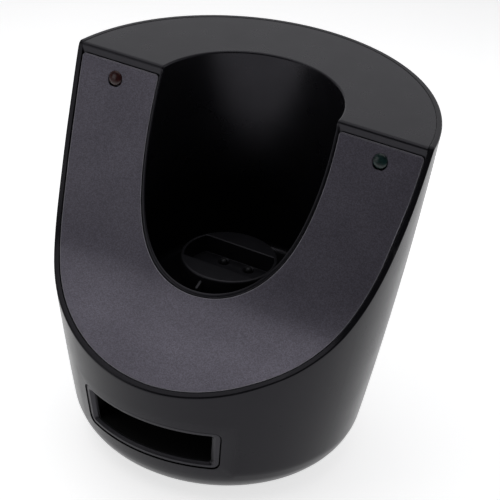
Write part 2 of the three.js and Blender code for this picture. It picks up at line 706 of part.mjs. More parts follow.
FEET.forEach(([x, y], i) => {
  const side = [[FOOT_R - 0.5, 0], [FOOT_R, 0.5], [FOOT_R, FOOT_HEIGHT]];
  const pad = turned([[0, 0], ...side, [0, FOOT_HEIGHT]], 18);
  add("foot_" + (i + 1), pad.translate([x, y, 0]), RUBBER, 0.9);
});
BASE_SCREWS.forEach(([x, y], i) => {
  const fastener = screw(2.7, 1.1, 1.1, 10).translate([x, y, BASE_LOW_Z + 0.1]);
  add("base_screw_" + (i + 1), fastener, STEEL, 0.35, 1);
});
BOARD_SCREWS.forEach(([x, y], i) => {
  const fastener = screw(2.4, 1.4, 0.95, 6.5).rotate([180, 0, 0]);
  add("board_screw_" + (i + 1), fastener.translate([x, y, BOARD_TOP + 1.4]), STEEL, 0.35, 1);
});

add("main_board", mainBoard(), BOARD_GREEN, 0.5);
add("dc_jack", dcJack(), BLACK, 0.5);
add("dc_pin", dcPin(), NICKEL, 0.3, 1);
add("charge_chip", chargeChip(), RUBBER, 0.6);
add("capacitor_1", capacitor(14, 20), SLEEVE, 0.4, 0.3);
add("capacitor_2", capacitor(-15, 2), SLEEVE, 0.4, 0.3);
add("inductor", inductor(), FERRITE, 0.6);
add("wire_header", header(...HEADER), NYLON, 0.6);

const [hx, hy] = HEADER;
const leadFoot = BOARD_TOP + 1.6;
for (const [side, name] of [[-1, "red"], [1, "black"]]) {
  const run = [
    [hx + side * 1.3, hy, leadFoot],
    [hx + side * 1.3, hy, 22],
    [hx + side * 4, hy + 6, 28],
    [side * 4.6, CONTACT_Y, 33],
    [side * 4.6, CONTACT_Y, CONTACT_BOARD_Z - 0.2],
  ];
  add("contact_lead_" + name, tube(run, 0.6, 12, 6), LEAD[name], 0.5);
}
for (const [side, name] of [[-1, "red"], [1, "green"]]) {
  const end = ledSeat(side).addScaledVector(faceNormal, ledBase - 4.3);
  const run = [
    [hx + side * 4, hy, leadFoot],
    [hx + side * 4, hy, 20],
    [side * 26, -2, 30],
    [side * 39, 8, 52],
    [side * 43, 16, 84],
    [side * LED_X, end.y + 4, end.z - 2.0],
    [side * LED_X, end.y, end.z],
  ];
  add("led_lead_" + name, tube(run, 0.7, 20, 6), LEAD[name], 0.5);
}

export default group;
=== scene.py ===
"""Desktop charging cradle for a cordless handset: the looks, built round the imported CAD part.

Lengths are millimetres in the drum's own frame, with the middle of the deck's level at
x = y = 0, until a mesh is made. The sloping face looks towards -Y.
"""
import bisect
import functools
import json
import math

import bmesh
import bpy
from mathutils import Matrix, Vector

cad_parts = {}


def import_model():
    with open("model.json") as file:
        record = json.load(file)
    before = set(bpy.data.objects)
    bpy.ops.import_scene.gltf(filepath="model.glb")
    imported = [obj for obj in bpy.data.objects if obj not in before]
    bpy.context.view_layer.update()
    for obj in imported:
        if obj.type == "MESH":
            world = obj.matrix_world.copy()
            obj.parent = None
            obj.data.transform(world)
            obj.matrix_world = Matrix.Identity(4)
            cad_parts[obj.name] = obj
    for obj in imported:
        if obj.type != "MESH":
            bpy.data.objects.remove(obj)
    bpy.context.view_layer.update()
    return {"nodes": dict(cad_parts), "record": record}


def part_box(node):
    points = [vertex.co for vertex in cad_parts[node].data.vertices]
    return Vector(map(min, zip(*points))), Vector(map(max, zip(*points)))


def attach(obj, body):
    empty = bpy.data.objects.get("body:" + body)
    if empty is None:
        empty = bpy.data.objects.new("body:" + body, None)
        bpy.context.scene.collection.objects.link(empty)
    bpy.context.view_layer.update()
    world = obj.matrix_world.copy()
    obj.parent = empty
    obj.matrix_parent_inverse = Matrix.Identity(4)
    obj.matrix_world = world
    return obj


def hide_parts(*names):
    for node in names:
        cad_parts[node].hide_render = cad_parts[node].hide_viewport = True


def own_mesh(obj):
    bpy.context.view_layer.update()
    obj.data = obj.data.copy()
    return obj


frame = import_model()

MM = 0.001

# ---- Drum ----
HALF_WIDTH = 60.0
OVAL = 0.93
DECK_Z = 109.8
EDGE_Z = 0.8
TAPER = 0.2076
TAPER_GROWTH = 0.0832
LEAN = 5.9
BASE_ROUND = 15.4
ROUND_TURN = math.radians(11)
WALL = 1.7
LIP_R = 29.5
RIM_ROUND = 0.5
RIM_INNER_ROUND = 0.2
FOLD_ROUND = 1.6
AXIS_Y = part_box("outer_shell")[1].y / MM - HALF_WIDTH * OVAL

# ---- Sloping face ----
FOLD_Y = 7.3
FACE_STATIONS = [
    (7.3, 108.2),
    (0.0, 91.2),
    (-10.0, 72.3),
    (-20.0, 59.5),
    (-30.0, 51.8),
    (-40.0, 46.2),
    (-52.0, 38.7),
]
FACE_SAMPLES = 160
PANEL = 1.2
PANEL_SUNK = 0.15
PANEL_GAP = 0.3
PANEL_EDGE = 0.12
PANEL_CORNER = 1.1
SEAT_SUNK = 1.65

# ---- Deck, pocket and well ----
DECK_SUNK = 0.05
DECK_EDGE = 0.9
INSERT_GAP = 0.25
DECK_GAP = 0.06
DECK_ROUND_OFF = 0.12
SEAT_ROUND_OFF = 0.2
SKIRT = 12.0
FACE_SKIRT = 0.55 * SKIRT
SKIRT_WALL = 1.5
PLATE = 2.0
POCKET_Y = 5.4
POCKET_A = 29.2
POCKET_B = 27.0
POCKET_WALL = 0.9
POCKET_EDGE = 0.6
RIM_EDGE = 0.4
RIM_GAP_EDGE = 0.25
SEAM = 0.02
POCKET_FLOOR_Z = 42.3
POCKET_FLOOR = 2.0
FLOOR_ROUND = 2.2

# ---- Contact carrier ----
PUCK_Y = -0.7
PUCK_A = 14.8
PUCK_TOP_Z = 58.1
PUCK_EDGE = 0.7
CHANNEL_Z = 52.2
CHANNEL_FRONT_Y = -7.0
CHANNEL_BACK_Y = 5.9
CHANNEL_RIM = 1.1
CHANNEL_EDGE = 0.35
CHANNEL_HEEL = 0.12
# A contact's dimple and hole in the channel floor, as (radius, depth).
DIMPLE = [(2.0, 0.0), (1.85, 0.05), (1.5, 0.55), (1.4, 0.6), (1.4, 3.0)]
CONTACT_X = 4.3
CONTACT_Y = 3.8
CONTACT_TIP_Z = 53.2
CONTACT_R = 1.15
COLLAR_R = 1.6
COLLAR_Z = 47.2
COLLAR = 1.1
SPRING_R = 1.25
SPRING_WIRE = 0.2
SPRING_TURNS = 6
SPRING_LOW_Z = 39.85
SPRING_HIGH_Z = 46.9
KEY_X = -1.6
KEY_HALF_WIDTH = 0.45
KEY_REACH = 3.0
KEY_ROOT = 0.4
KEY_SLOPE = 0.45
KEY_BELOW_TOP = 1.7
KEY_CORNER = 0.3
KEY_EDGE = 0.22

# ---- Indicators ----
LED_X = 44.5
LED_Y = 5.0
LENS_R = 2.25
LENS_SHOULDER = -0.35
LED_FOOT = -7.8
LED_FLANGE = 1.0
LED_FLANGE_R = 2.9
LED_HOLE_R = 2.5
LED_HOLE_EDGE = 0.12
LED_PROUD = 0.45

# ---- Front slot and rear inlet ----
SLOT_ANGLE = 26.4
SLOT_MID_Z = 21.15
SLOT_HALF_HEIGHT = 5.25
BEZEL_SIDE_ANGLE = 3.5
BEZEL_BAND = 2.0
BEZEL_SUNK = 0.3
BEZEL_DEPTH = 1.8
BEZEL_CORNER = 2.4
BEZEL_GAP = 0.22
# The frame's section, as (share of the way in to the slot, depth).
BEZEL_SECTION = [
    (0.0, BEZEL_DEPTH), (0.0, 0.35), (0.03, 0.16), (0.09, 0.04), (0.17, 0.0), (0.5, 0.0),
    (0.58, 0.03), (0.64, 0.1), (0.96, 0.95), (1.0, 1.15), (1.0, BEZEL_DEPTH),
]
SLOT_CORNER = 0.7
FRONT_MM_PER_DEGREE = 0.812
JACK_Z = 15.2
INLET_R = 4.5

# ---- Steps and angles shared by the meshes ----
SETTLE_STEPS = 14
MEET_STEPS = 12
FOLD_WALL_Z = DECK_Z - 4
SHARP_ANGLE = math.radians(38)
ON_AXIS = 0.01
NODE_EDGE = 0.15
NODE_EDGE_ANGLE = math.radians(40)


# ---------------------------------------------------------------- shared surfaces
def drum_centre(z):
    """The drum leans: its lower levels stand further forward."""
    return -LEAN * (DECK_Z - z) / (DECK_Z - EDGE_Z)


def wall_radius(z):
    down = (DECK_Z - z) / (DECK_Z - EDGE_Z)
    return HALF_WIDTH * (1 - TAPER * down - TAPER_GROWTH * down * down)


ROUND_Z = EDGE_Z + BASE_ROUND
ROUND_END_Z = ROUND_Z - BASE_ROUND * math.sin(ROUND_TURN)
ROUND_R = wall_radius(ROUND_END_Z) - BASE_ROUND * math.cos(ROUND_TURN)


def drum_radius(z, inset=0.0):
    """Half width of the wall at a height, through the rounding down to the base."""
    if z >= ROUND_END_Z:
        return wall_radius(z) - inset
    return ROUND_R + math.sqrt(max((BASE_ROUND - inset) ** 2 - (ROUND_Z - z) ** 2, 0))


def drum(angle, z, inset=0.0):
    """A point on the drum's wall. The angle starts at the front, in radians, to the right."""
    r = drum_radius(z, inset)
    return (r * math.sin(angle), drum_centre(z) - r * OVAL * math.cos(angle), z)


def catmull(p0, p1, p2, p3, t):
    v0, v1 = (p2 - p0) / 2, (p3 - p1) / 2
    cubic = (2 * p1 - 2 * p2 + v0 + v1) * t**3
    return cubic + (-3 * p1 + 3 * p2 - 2 * v0 - v1) * t**2 + v0 * t + p1


@functools.cache
def face_line(sunk):
    """The face from front to fold, sunk square to itself, as two lists: y and z."""
    last = len(FACE_STATIONS) - 1
    line = []
    for i in range(FACE_SAMPLES + 1):
        whole = min(int(i * last / FACE_SAMPLES), last - 1)
        t = i * last / FACE_SAMPLES - whole
        near = [FACE_STATIONS[min(max(whole + k, 0), last)] for k in (-1, 0, 1, 2)]
        line.append(tuple(catmull(*[p[axis] for p in near], t) for axis in (0, 1)))
    moved = []
    for i, (y, z) in enumerate(line):
        (ya, za), (yb, zb) = line[max(i - 1, 0)], line[min(i + 1, len(line) - 1)]
        length = math.hypot(yb - ya, zb - za)
        moved.append((y - (zb - za) / length * sunk, z + (yb - ya) / length * sunk))
    moved.reverse()
    return [y for y, _ in moved], [z for _, z in moved]


def face(y, sunk=0.0):
    ys, zs = face_line(sunk)
    i = min(max(bisect.bisect(ys, y), 1), len(ys) - 1)
    return zs[i - 1] + (zs[i] - zs[i - 1]) * (y - ys[i - 1]) / (ys[i] - ys[i - 1])


def shell_top(y):
    """Height of the drum's rim: the deck and the face, with a rounded fold between them."""
    sloped = face(y)
    ease = max(FOLD_ROUND - abs(DECK_Z - sloped), 0) / FOLD_ROUND
    return min(DECK_Z, sloped) - ease * ease * FOLD_ROUND / 4


def settle(angle, inset, height):
    """Height of a surface given by y, met by the drum's wall at an angle."""
    z = DECK_Z
    for _ in range(SETTLE_STEPS):
        z = height(drum(angle, z, inset)[1])
    return z


def spread(start, end, count):
    """Evenly spaced values from start to end, both included."""
    return [start + (end - start) * i / count for i in range(count + 1)]


def between(a, b, t):
    return tuple(u + (v - u) * t for u, v in zip(a, b))


def fillet(radius, steps):
    """A quarter round as (in, down) pairs, from the side wall to the flat."""
    turns = [math.pi / 2 * i / steps for i in range(steps + 1)]
    return [(radius * (1 - math.cos(t)), radius * (1 - math.sin(t))) for t in turns]


# ---------------------------------------------------------------- meshes
class Skin:
    """Points and faces gathered for one piece."""

    def __init__(self):
        self.points = []
        self.faces = []

    def add(self, points):
        start = len(self.points)
        self.points.extend(points)
        return list(range(start, len(self.points)))

    def bridge(self, a, b, closed=True):
        count = len(a)
        for i in range(count if closed else count - 1):
            j = (i + 1) % count
            self.faces.append((a[i], a[j], b[j], b[i]))

    def loops(self, first, rings):
        """Bridges from known points through further rings, and returns the last one."""
        for ring in rings:
            ids = self.add(ring)
            self.bridge(first, ids)
            first = ids
        return first

    def capped(self, rings):
        """A solid through rings, with a face across each end."""
        first = self.add(rings[0])
        last = self.loops(first, rings[1:])
        self.faces += [first, last]

    def hoop(self, rings):
        """A closed band through rings, the last one joined to the first."""
        first = self.add(rings[0])
        self.bridge(self.loops(first, rings[1:]), first)

    def lathe(self, profile, segments, place):
        """A turned form about Z, with a face across each end."""
        turns = [2 * math.pi * i / segments for i in range(segments)]
        rings = []
        for r, z in profile:
            rings.append([place((r * math.cos(t), r * math.sin(t), z)) for t in turns])
        self.capped(rings)


def build_piece(name, skin, body, slot, finish, replaced):
    mesh = bpy.data.meshes.new(name)
    points = [(x * MM, (y + AXIS_Y) * MM, z * MM) for x, y, z in skin.points]
    mesh.from_pydata(points, [], skin.faces)
    work = bmesh.new()
    work.from_mesh(mesh)
    bmesh.ops.recalc_face_normals(work, faces=work.faces)
    work.to_mesh(mesh)
    work.free()
    mesh.polygons.foreach_set("use_smooth", [True] * len(mesh.polygons))
    mesh.set_sharp_from_angle(angle=SHARP_ANGLE)
    mesh.materials.append(finish)
    piece = bpy.data.objects.new(name, mesh)
    bpy.context.scene.collection.objects.link(piece)
    weighted = piece.modifiers.new("weighted", "WEIGHTED_NORMAL")
    weighted.keep_sharp = True
    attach(piece, body)
    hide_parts(*replaced)
    return piece


def rounded(p, q, half_a, half_b, r):
    """A mark on a square ring (straight to 1, corner to 2) as a point on a rounded rectangle."""
    ca, cb = half_a - r, half_b - r
    if abs(p) <= 1:
        return (p * ca, math.copysign(half_b, q))
    if abs(q) <= 1:
        return (math.copysign(half_a, p), q * cb)
    turn = math.radians(90 - 45 * (abs(p) - 1) if abs(q) >= 2 else 45 * (abs(q) - 1))
    return (
        math.copysign(ca + r * math.cos(turn), p),
        math.copysign(cb + r * math.sin(turn), q),
    )


def ring_cells(columns, rows):
    """The grid places round a block of cells, in order."""
    (c0, c1), (r0, r1) = columns, rows
    low = [(c, r0) for c in range(c0, c1)]
    right = [(c1, r) for r in range(r0, r1)]
    high = [(c, r1) for c in range(c1, c0, -1)]
    left = [(c0, r) for r in range(r1, r0, -1)]
    return low + right + high + left


# ---------------------------------------------------------------- materials
def node_tree(name):
    material = bpy.data.materials.new(name)
    material.use_nodes = True
    tree = material.node_tree
    return material, tree, tree.nodes["Principled BSDF"]


def noise(tree, scale, detail=4.0):
    where = tree.nodes.new("ShaderNodeTexCoord")
    texture = tree.nodes.new("ShaderNodeTexNoise")
    texture.inputs["Scale"].default_value = scale
    texture.inputs["Detail"].default_value = detail
    texture.inputs["Roughness"].default_value = 0.55
    tree.links.new(where.outputs["Object"], texture.inputs["Vector"])
    return texture.outputs["Fac"]


def remap(tree, value, low, high, start=0.3, end=0.7):
    node = tree.nodes.new("ShaderNodeMapRange")
    node.inputs["From Min"].default_value = start
    node.inputs["From Max"].default_value = end
    node.inputs["To Min"].default_value = low
    node.inputs["To Max"].default_value = high
    tree.links.new(value, node.inputs["Value"])
    return node.outputs["Result"]


def blend_colours(tree, factor, dark, light):
    node = tree.nodes.new("ShaderNodeMix")
    node.data_type = "RGBA"
    colours = [s for s in node.inputs if s.type == "RGBA"]
    colours[0].default_value = (*dark, 1)
    colours[1].default_value = (*light, 1)
    tree.links.new(factor, node.inputs["Factor"])
    return [s for s in node.outputs if s.type == "RGBA"][0]


def paint_edge_highlight(tree, colour, light, amount):
    """Paints a highlight: sharp edges are coloured a little lighter, as where they catch the light.
    """
    shape = tree.nodes.new("ShaderNodeNewGeometry")
    highlight_share = remap(tree, shape.outputs["Pointiness"], 0.0, amount, 0.51, 0.6)
    node = tree.nodes.new("ShaderNodeMix")
    node.data_type = "RGBA"
    colours = [s for s in node.inputs if s.type == "RGBA"]
    tree.links.new(highlight_share, node.inputs["Factor"])
    tree.links.new(colour, colours[0])
    colours[1].default_value = (*light, 1)
    return [s for s in node.outputs if s.type == "RGBA"][0]


def surface(name, dark, light, gloss, grain, mottle=180, edge=0.0, edge_colour=None, **sockets):
    """A moulded or metal finish: two-tone mottle, uneven gloss, fine grain and a painted highlight
    on sharp edges.
    """
    material, tree, shader = node_tree(name)
    colour = blend_colours(tree, remap(tree, noise(tree, mottle), 0, 1), dark, light)
    # With edge set, sharp edges are painted lighter: a painted highlight.
    if edge:
        colour = paint_edge_highlight(tree, colour, edge_colour, edge)
    tree.links.new(colour, shader.inputs["Base Color"])
    uneven = remap(tree, noise(tree, mottle * 0.6, 5.0), gloss[0], gloss[1])
    tree.links.new(uneven, shader.inputs["Roughness"])
    grain_scale, grain_height = grain
    bump = tree.nodes.new("ShaderNodeBump")
    bump.inputs["Strength"].default_value = 1.0
    bump.inputs["Distance"].default_value = grain_height * MM
    tree.links.new(noise(tree, grain_scale, 3.0), bump.inputs["Height"])
    tree.links.new(bump.outputs["Normal"], shader.inputs["Normal"])
    for socket, value in sockets.items():
        shader.inputs[socket.replace("_", " ")].default_value = value
    return material


def lacquer(name):
    """Metallic charcoal lacquer: fine flakes in a violet grey ground under a satin coat."""
    material, tree, shader = node_tree(name)
    mottle = remap(tree, noise(tree, 60), 0, 1)
    ground = blend_colours(tree, mottle, (0.112, 0.104, 0.127), (0.133, 0.124, 0.15))
    flakes = tree.nodes.new("ShaderNodeTexVoronoi")
    where = tree.nodes.new("ShaderNodeTexCoord")
    flakes.inputs["Scale"].default_value = 3600
    tree.links.new(where.outputs["Object"], flakes.inputs["Vector"])
    split = tree.nodes.new("ShaderNodeSeparateColor")
    tree.links.new(flakes.outputs["Color"], split.inputs["Color"])
    bright = remap(tree, split.outputs["Red"], 0.0, 1.0, 0.0, 1.0)
    node = tree.nodes.new("ShaderNodeMix")
    node.data_type = "RGBA"
    node.blend_type = "OVERLAY"
    colours = [s for s in node.inputs if s.type == "RGBA"]
    grey = blend_colours(tree, bright, (0.3, 0.3, 0.3), (0.72, 0.72, 0.76))
    node.inputs["Factor"].default_value = 0.5
    tree.links.new(ground, colours[0])
    tree.links.new(grey, colours[1])
    mixed = [s for s in node.outputs if s.type == "RGBA"][0]
    tree.links.new(mixed, shader.inputs["Base Color"])
    tree.links.new(remap(tree, noise(tree, 900), 0.41, 0.48), shader.inputs["Roughness"])
    bump = tree.nodes.new("ShaderNodeBump")
    bump.inputs["Strength"].default_value = 0.35
    bump.inputs["Distance"].default_value = 0.02 * MM
    tree.links.new(split.outputs["Green"], bump.inputs["Height"])
    tree.links.new(bump.outputs["Normal"], shader.inputs["Normal"])
    shader.inputs["Metallic"].default_value = 0.95
    shader.inputs["Coat Weight"].default_value = 0.15
    shader.inputs["Coat Roughness"].default_value = 0.25
    return material


def lens(name, dark, light):
    """Tinted clear cap over an unlit lamp: deep colour mottled with paler blobs, painted highlights
    inside the cap.
    """
    return surface(
        name, dark, light, (0.2, 0.28), (1500, 0.004), mottle=900, Specular_IOR_Level=0.4,
    )


def metal(name, dark, light, gloss):
    return surface(name, dark, light, gloss, (2600, 0.006), mottle=400, Metallic=1.0)


def plastic(name, dark, light, gloss, **more):
    return surface(name, dark, light, gloss, (2600, 0.012), **more)


COOL = (0.91, 0.88, 1.0, 1.0)

# edge and its colour paint a highlight on the sharp edges of each finish.
FINISHES = {
    "shell_black": plastic(
        "shell_black", (0.0045, 0.0044, 0.0054), (0.006, 0.0059, 0.007), (0.22, 0.28),
        edge=0.5, edge_colour=(0.025, 0.025, 0.027), Specular_IOR_Level=0.22, Specular_Tint=COOL,
    ),
    "deck_grey": plastic(
        "deck_grey", (0.0045, 0.0044, 0.0056), (0.006, 0.0059, 0.0072), (0.26, 0.32),
        edge=0.15, edge_colour=(0.02, 0.02, 0.022), Specular_IOR_Level=0.32, Specular_Tint=COOL,
    ),
    "face_charcoal": lacquer("face_charcoal"),
    "carrier_black": plastic(
        "carrier_black", (0.0055, 0.0055, 0.007), (0.0075, 0.0075, 0.009), (0.36, 0.46),
        edge=0.6, edge_colour=(0.045, 0.045, 0.048), Specular_IOR_Level=0.34, Specular_Tint=COOL,
    ),
    "bezel_black": plastic(
        "bezel_black", (0.007, 0.007, 0.0085), (0.01, 0.01, 0.0115), (0.3, 0.38),
        edge=0.6, edge_colour=(0.05, 0.05, 0.052), Specular_IOR_Level=0.36, Specular_Tint=COOL,
    ),
    # The lens caps' paler mottle paints small highlights inside the caps.
    "lens_red": lens("lens_red", (0.018, 0.0045, 0.0045), (0.04, 0.009, 0.008)),
    "lens_green": lens("lens_green", (0.003, 0.012, 0.012), (0.007, 0.026, 0.024)),
    "circuit_board": surface(
        "circuit_board", (0.01, 0.06, 0.03), (0.02, 0.1, 0.05), (0.3, 0.5), (1200, 0.01), 700,
    ),
}

# Plain finishes, as darker tone, lighter tone and range of roughness.
PLAIN_PLASTICS = {
    "liner_black": ((0.003, 0.003, 0.0035), (0.005, 0.005, 0.0055), (0.55, 0.7)),
    "base_black": ((0.009, 0.009, 0.01), (0.014, 0.014, 0.015), (0.5, 0.65)),
    "holder_black": ((0.009, 0.009, 0.01), (0.014, 0.014, 0.015), (0.5, 0.6)),
    "jack_black": ((0.01, 0.01, 0.011), (0.015, 0.015, 0.016), (0.4, 0.55)),
    "chip_black": ((0.012, 0.012, 0.012), (0.02, 0.02, 0.02), (0.5, 0.65)),
    "capacitor_sleeve": ((0.012, 0.016, 0.03), (0.02, 0.026, 0.045), (0.3, 0.45)),
    "ferrite": ((0.025, 0.025, 0.027), (0.045, 0.045, 0.048), (0.6, 0.75)),
    "header_white": ((0.5, 0.48, 0.4), (0.6, 0.58, 0.5), (0.4, 0.55)),
    "lead_red": ((0.2, 0.01, 0.008), (0.28, 0.018, 0.014), (0.35, 0.5)),
    "lead_black": ((0.008, 0.008, 0.008), (0.014, 0.014, 0.014), (0.35, 0.5)),
    "lead_green": ((0.012, 0.09, 0.03), (0.02, 0.14, 0.05), (0.35, 0.5)),
    "foot_rubber": ((0.006, 0.006, 0.0065), (0.012, 0.012, 0.0125), (0.75, 0.9)),
}
METALS = {
    "contact_nickel": ((0.028, 0.028, 0.031), (0.05, 0.05, 0.054), (0.5, 0.62)),
    "barrel_brass": ((0.42, 0.28, 0.1), (0.55, 0.38, 0.16), (0.25, 0.4)),
    "spring_steel": ((0.34, 0.34, 0.35), (0.46, 0.46, 0.47), (0.25, 0.4)),
    "screw_steel": ((0.3, 0.3, 0.31), (0.42, 0.42, 0.43), (0.25, 0.42)),
}
FINISHES.update({name: plastic(name, *look) for name, look in PLAIN_PLASTICS.items()})
FINISHES.update({name: metal(name, *look) for name, look in METALS.items()})
# A pale finish that paints a highlight along the panel's edge.
PAINTED_EDGE_HIGHLIGHT = plastic("panel_edge_highlight", (0.2, 0.195, 0.22), (0.3, 0.29, 0.33), (0.4, 0.55))


# ---------------------------------------------------------------- drum shell
WINDOW_REACH = 35.0
WINDOW_STRAIGHT = 31.5
WINDOW_LOW_Z = 11.0
WINDOW_HIGH_Z = 31.0
WINDOW_CORNER = 1.5
INLET_REACH = 172.5
INLET_ROWS_ABOVE = 5.5
CORNER_CELLS = 3
WINDOW_ROWS = (
    spread(WINDOW_LOW_Z, WINDOW_LOW_Z + WINDOW_CORNER, CORNER_CELLS)
    + spread(WINDOW_LOW_Z + WINDOW_CORNER, WINDOW_HIGH_Z - WINDOW_CORNER, 12)[1:]
    + spread(WINDOW_HIGH_Z - WINDOW_CORNER, WINDOW_HIGH_Z, CORNER_CELLS)[1:]
)
LOW_ROWS = [9.0, *WINDOW_ROWS]
ROUNDING_TOP_Z = 8.0
SHELL_RISE = 9
ARC_STEPS = 8
INNER_ARC_STEPS = 4


def half_turn():
    """Angles of the shell's columns from front to back, closer together at the fold."""
    runs = [
        (0, WINDOW_STRAIGHT, 13),
        (WINDOW_STRAIGHT, WINDOW_REACH, CORNER_CELLS),
        (WINDOW_REACH, 75, 21),
        (75, 92, 24),
        (92, 101, 30),
        (101, INLET_REACH, 36),
        (INLET_REACH, 180, 6),
    ]
    angles = [0.0]
    for start, end, count in runs:
        angles += spread(start, end, count)[1:]
    return angles


def shell_columns():
    half = half_turn()
    return [-a for a in reversed(half[1:-1])] + half


def lip_point(angle, z):
    return (LIP_R * math.sin(angle), drum_centre(z) - LIP_R * OVAL * math.cos(angle), z)


def rounding(angle, inset, steps):
    """Points up the rounding under the wall, from the flat of the base."""
    radius = BASE_ROUND - inset
    end = math.acos((ROUND_Z - ROUNDING_TOP_Z) / radius)
    heights = [ROUND_Z - radius * math.cos(t) for t in spread(0, end, steps)]
    return [drum(angle, z, inset) for z in heights]


def shell_column(angle):
    """One closed section of the shell, from the bottom lip up outside and down inside."""
    outside = [lip_point(angle, EDGE_Z)]
    outside += rounding(angle, 0, ARC_STEPS)
    outside += [drum(angle, z) for z in LOW_ROWS]
    high = settle(angle, 0, shell_top) - RIM_ROUND
    outside += [drum(angle, z) for z in spread(LOW_ROWS[-1], high, SHELL_RISE)[1:-1]]
    rim = []
    for inward, down in fillet(RIM_ROUND, 4):
        rim.append(drum(angle, settle(angle, inward, shell_top) - down, inward))
    for inward, down in fillet(RIM_INNER_ROUND, 4)[::-1]:
        inset = WALL - inward
        rim.append(drum(angle, settle(angle, inset, shell_top) - down, inset))
    high = settle(angle, WALL, shell_top) - RIM_INNER_ROUND
    inside = [drum(angle, z, WALL) for z in spread(LOW_ROWS[-1], high, SHELL_RISE)[1:-1]][::-1]
    inside += [drum(angle, z, WALL) for z in LOW_ROWS[::-1]]
    inside += rounding(angle, WALL, INNER_ARC_STEPS)[::-1]
    inside.append(lip_point(angle, EDGE_Z + WALL))
    return outside + rim + inside


def window_mark(degrees, z):
    """Where a grid place round the window lies on the square ring used by rounded()."""

    def mark(value, straight, reach):
        size = abs(value)
        shown = size / straight if size <= straight else 1 + (size - straight) / (reach - straight)
        return math.copysign(shown, value)

    middle = (WINDOW_LOW_Z + WINDOW_HIGH_Z) / 2
    reach = (WINDOW_HIGH_Z - WINDOW_LOW_Z) / 2
    across = mark(degrees, WINDOW_STRAIGHT, WINDOW_REACH)
    return across, mark(z - middle, reach - WINDOW_CORNER, reach)


def slot_point(mark, grow, inset):
    """A point of the rounded cut-out for the slot's frame, grown by a distance, on the drum."""
    half_a = (SLOT_ANGLE + BEZEL_SIDE_ANGLE) * FRONT_MM_PER_DEGREE + grow
    half_b = SLOT_HALF_HEIGHT + BEZEL_BAND + grow
    a, b = rounded(*mark, half_a, half_b, BEZEL_CORNER + grow)
    return drum(math.radians(a / FRONT_MM_PER_DEGREE), SLOT_MID_Z + b, inset)


def inlet_point(x, z, radius, inset):
    """The point of the rear inlet's circle in the same direction from its centre."""
    away = math.hypot(x, z - JACK_Z)
    px, pz = x / away * radius, JACK_Z + (z - JACK_Z) / away * radius
    return drum(math.pi - math.asin(px / drum_radius(pz, inset)), pz, inset)


def outer_shell():
    skin = Skin()
    angles = shell_columns()
    grid = [skin.add(shell_column(math.radians(a))) for a in angles]
    rows, columns = len(grid[0]), len(grid)
    first = 1 + ARC_STEPS + 1
    last = rows - 1 - (INNER_ARC_STEPS + 1) - 1
    front = [i for i, a in enumerate(angles) if abs(a) <= WINDOW_REACH + 0.01]
    back = [i for i, a in enumerate(angles) if a >= INLET_REACH - 0.01]
    window_columns = (front[0], front[-1])
    inlet_columns = (back[0], back[-1] + len(back) - 1)
    window = (LOW_ROWS.index(WINDOW_ROWS[0]), LOW_ROWS.index(WINDOW_ROWS[-1]))
    inlet = (0, next(i for i, z in enumerate(LOW_ROWS) if z > JACK_Z + INLET_ROWS_ABOVE))

    def holed(c, low_row):
        for (c0, c1), (r0, r1) in ((window_columns, window), (inlet_columns, inlet)):
            inside = c0 <= c < c1 or c0 <= c + columns < c1
            if inside and r0 <= low_row < r1:
                return True
        return False

    for c in range(columns):
        a, b = grid[c], grid[(c + 1) % columns]
        for r in range(rows):
            if holed(c, r - first) or holed(c, last - 1 - r):
                continue
            s = (r + 1) % rows
            skin.faces.append((a[r], b[r], b[s], a[s]))

    def line_hole(cells, ring):
        """Carries a hole through the wall, with its outer edge rounded."""
        outer = [grid[c % columns][first + r] for c, r in cells]
        inner = [grid[c % columns][last - r] for c, r in cells]
        edge = [ring(RIM_ROUND - i, d) for i, d in fillet(RIM_ROUND, 3)[::-1]]
        skin.bridge(skin.loops(outer, [*edge, ring(0, WALL)]), inner)

    def slot_ring(grow, inset):
        return [slot_point(m, grow, inset) for m in marks]

    def inlet_ring(grow, inset):
        return [inlet_point(x, z, INLET_R + grow, inset) for x, _, z in spots]

    cells = ring_cells(window_columns, window)
    marks = [window_mark(angles[c], LOW_ROWS[r]) for c, r in cells]
    line_hole(cells, slot_ring)
    cells = ring_cells(inlet_columns, inlet)
    spots = [drum(math.radians(angles[c % columns]), LOW_ROWS[r]) for c, r in cells]
    line_hole(cells, inlet_ring)
    return skin


# ---------------------------------------------------------------- deck, riser, pocket and well
FOLD_STEP = 0.02
INSERT_STEPS = 46


def ellipse(a, b, centre_y, angle):
    return a * math.sin(angle), centre_y - b * math.cos(angle)


def level_x(a, b, centre_y, y):
    return a * math.sqrt(max(1 - ((y - centre_y) / b) ** 2, 0))


def angle_at(y, b, centre_y):
    return math.acos(min(max((centre_y - y) / b, -1), 1))


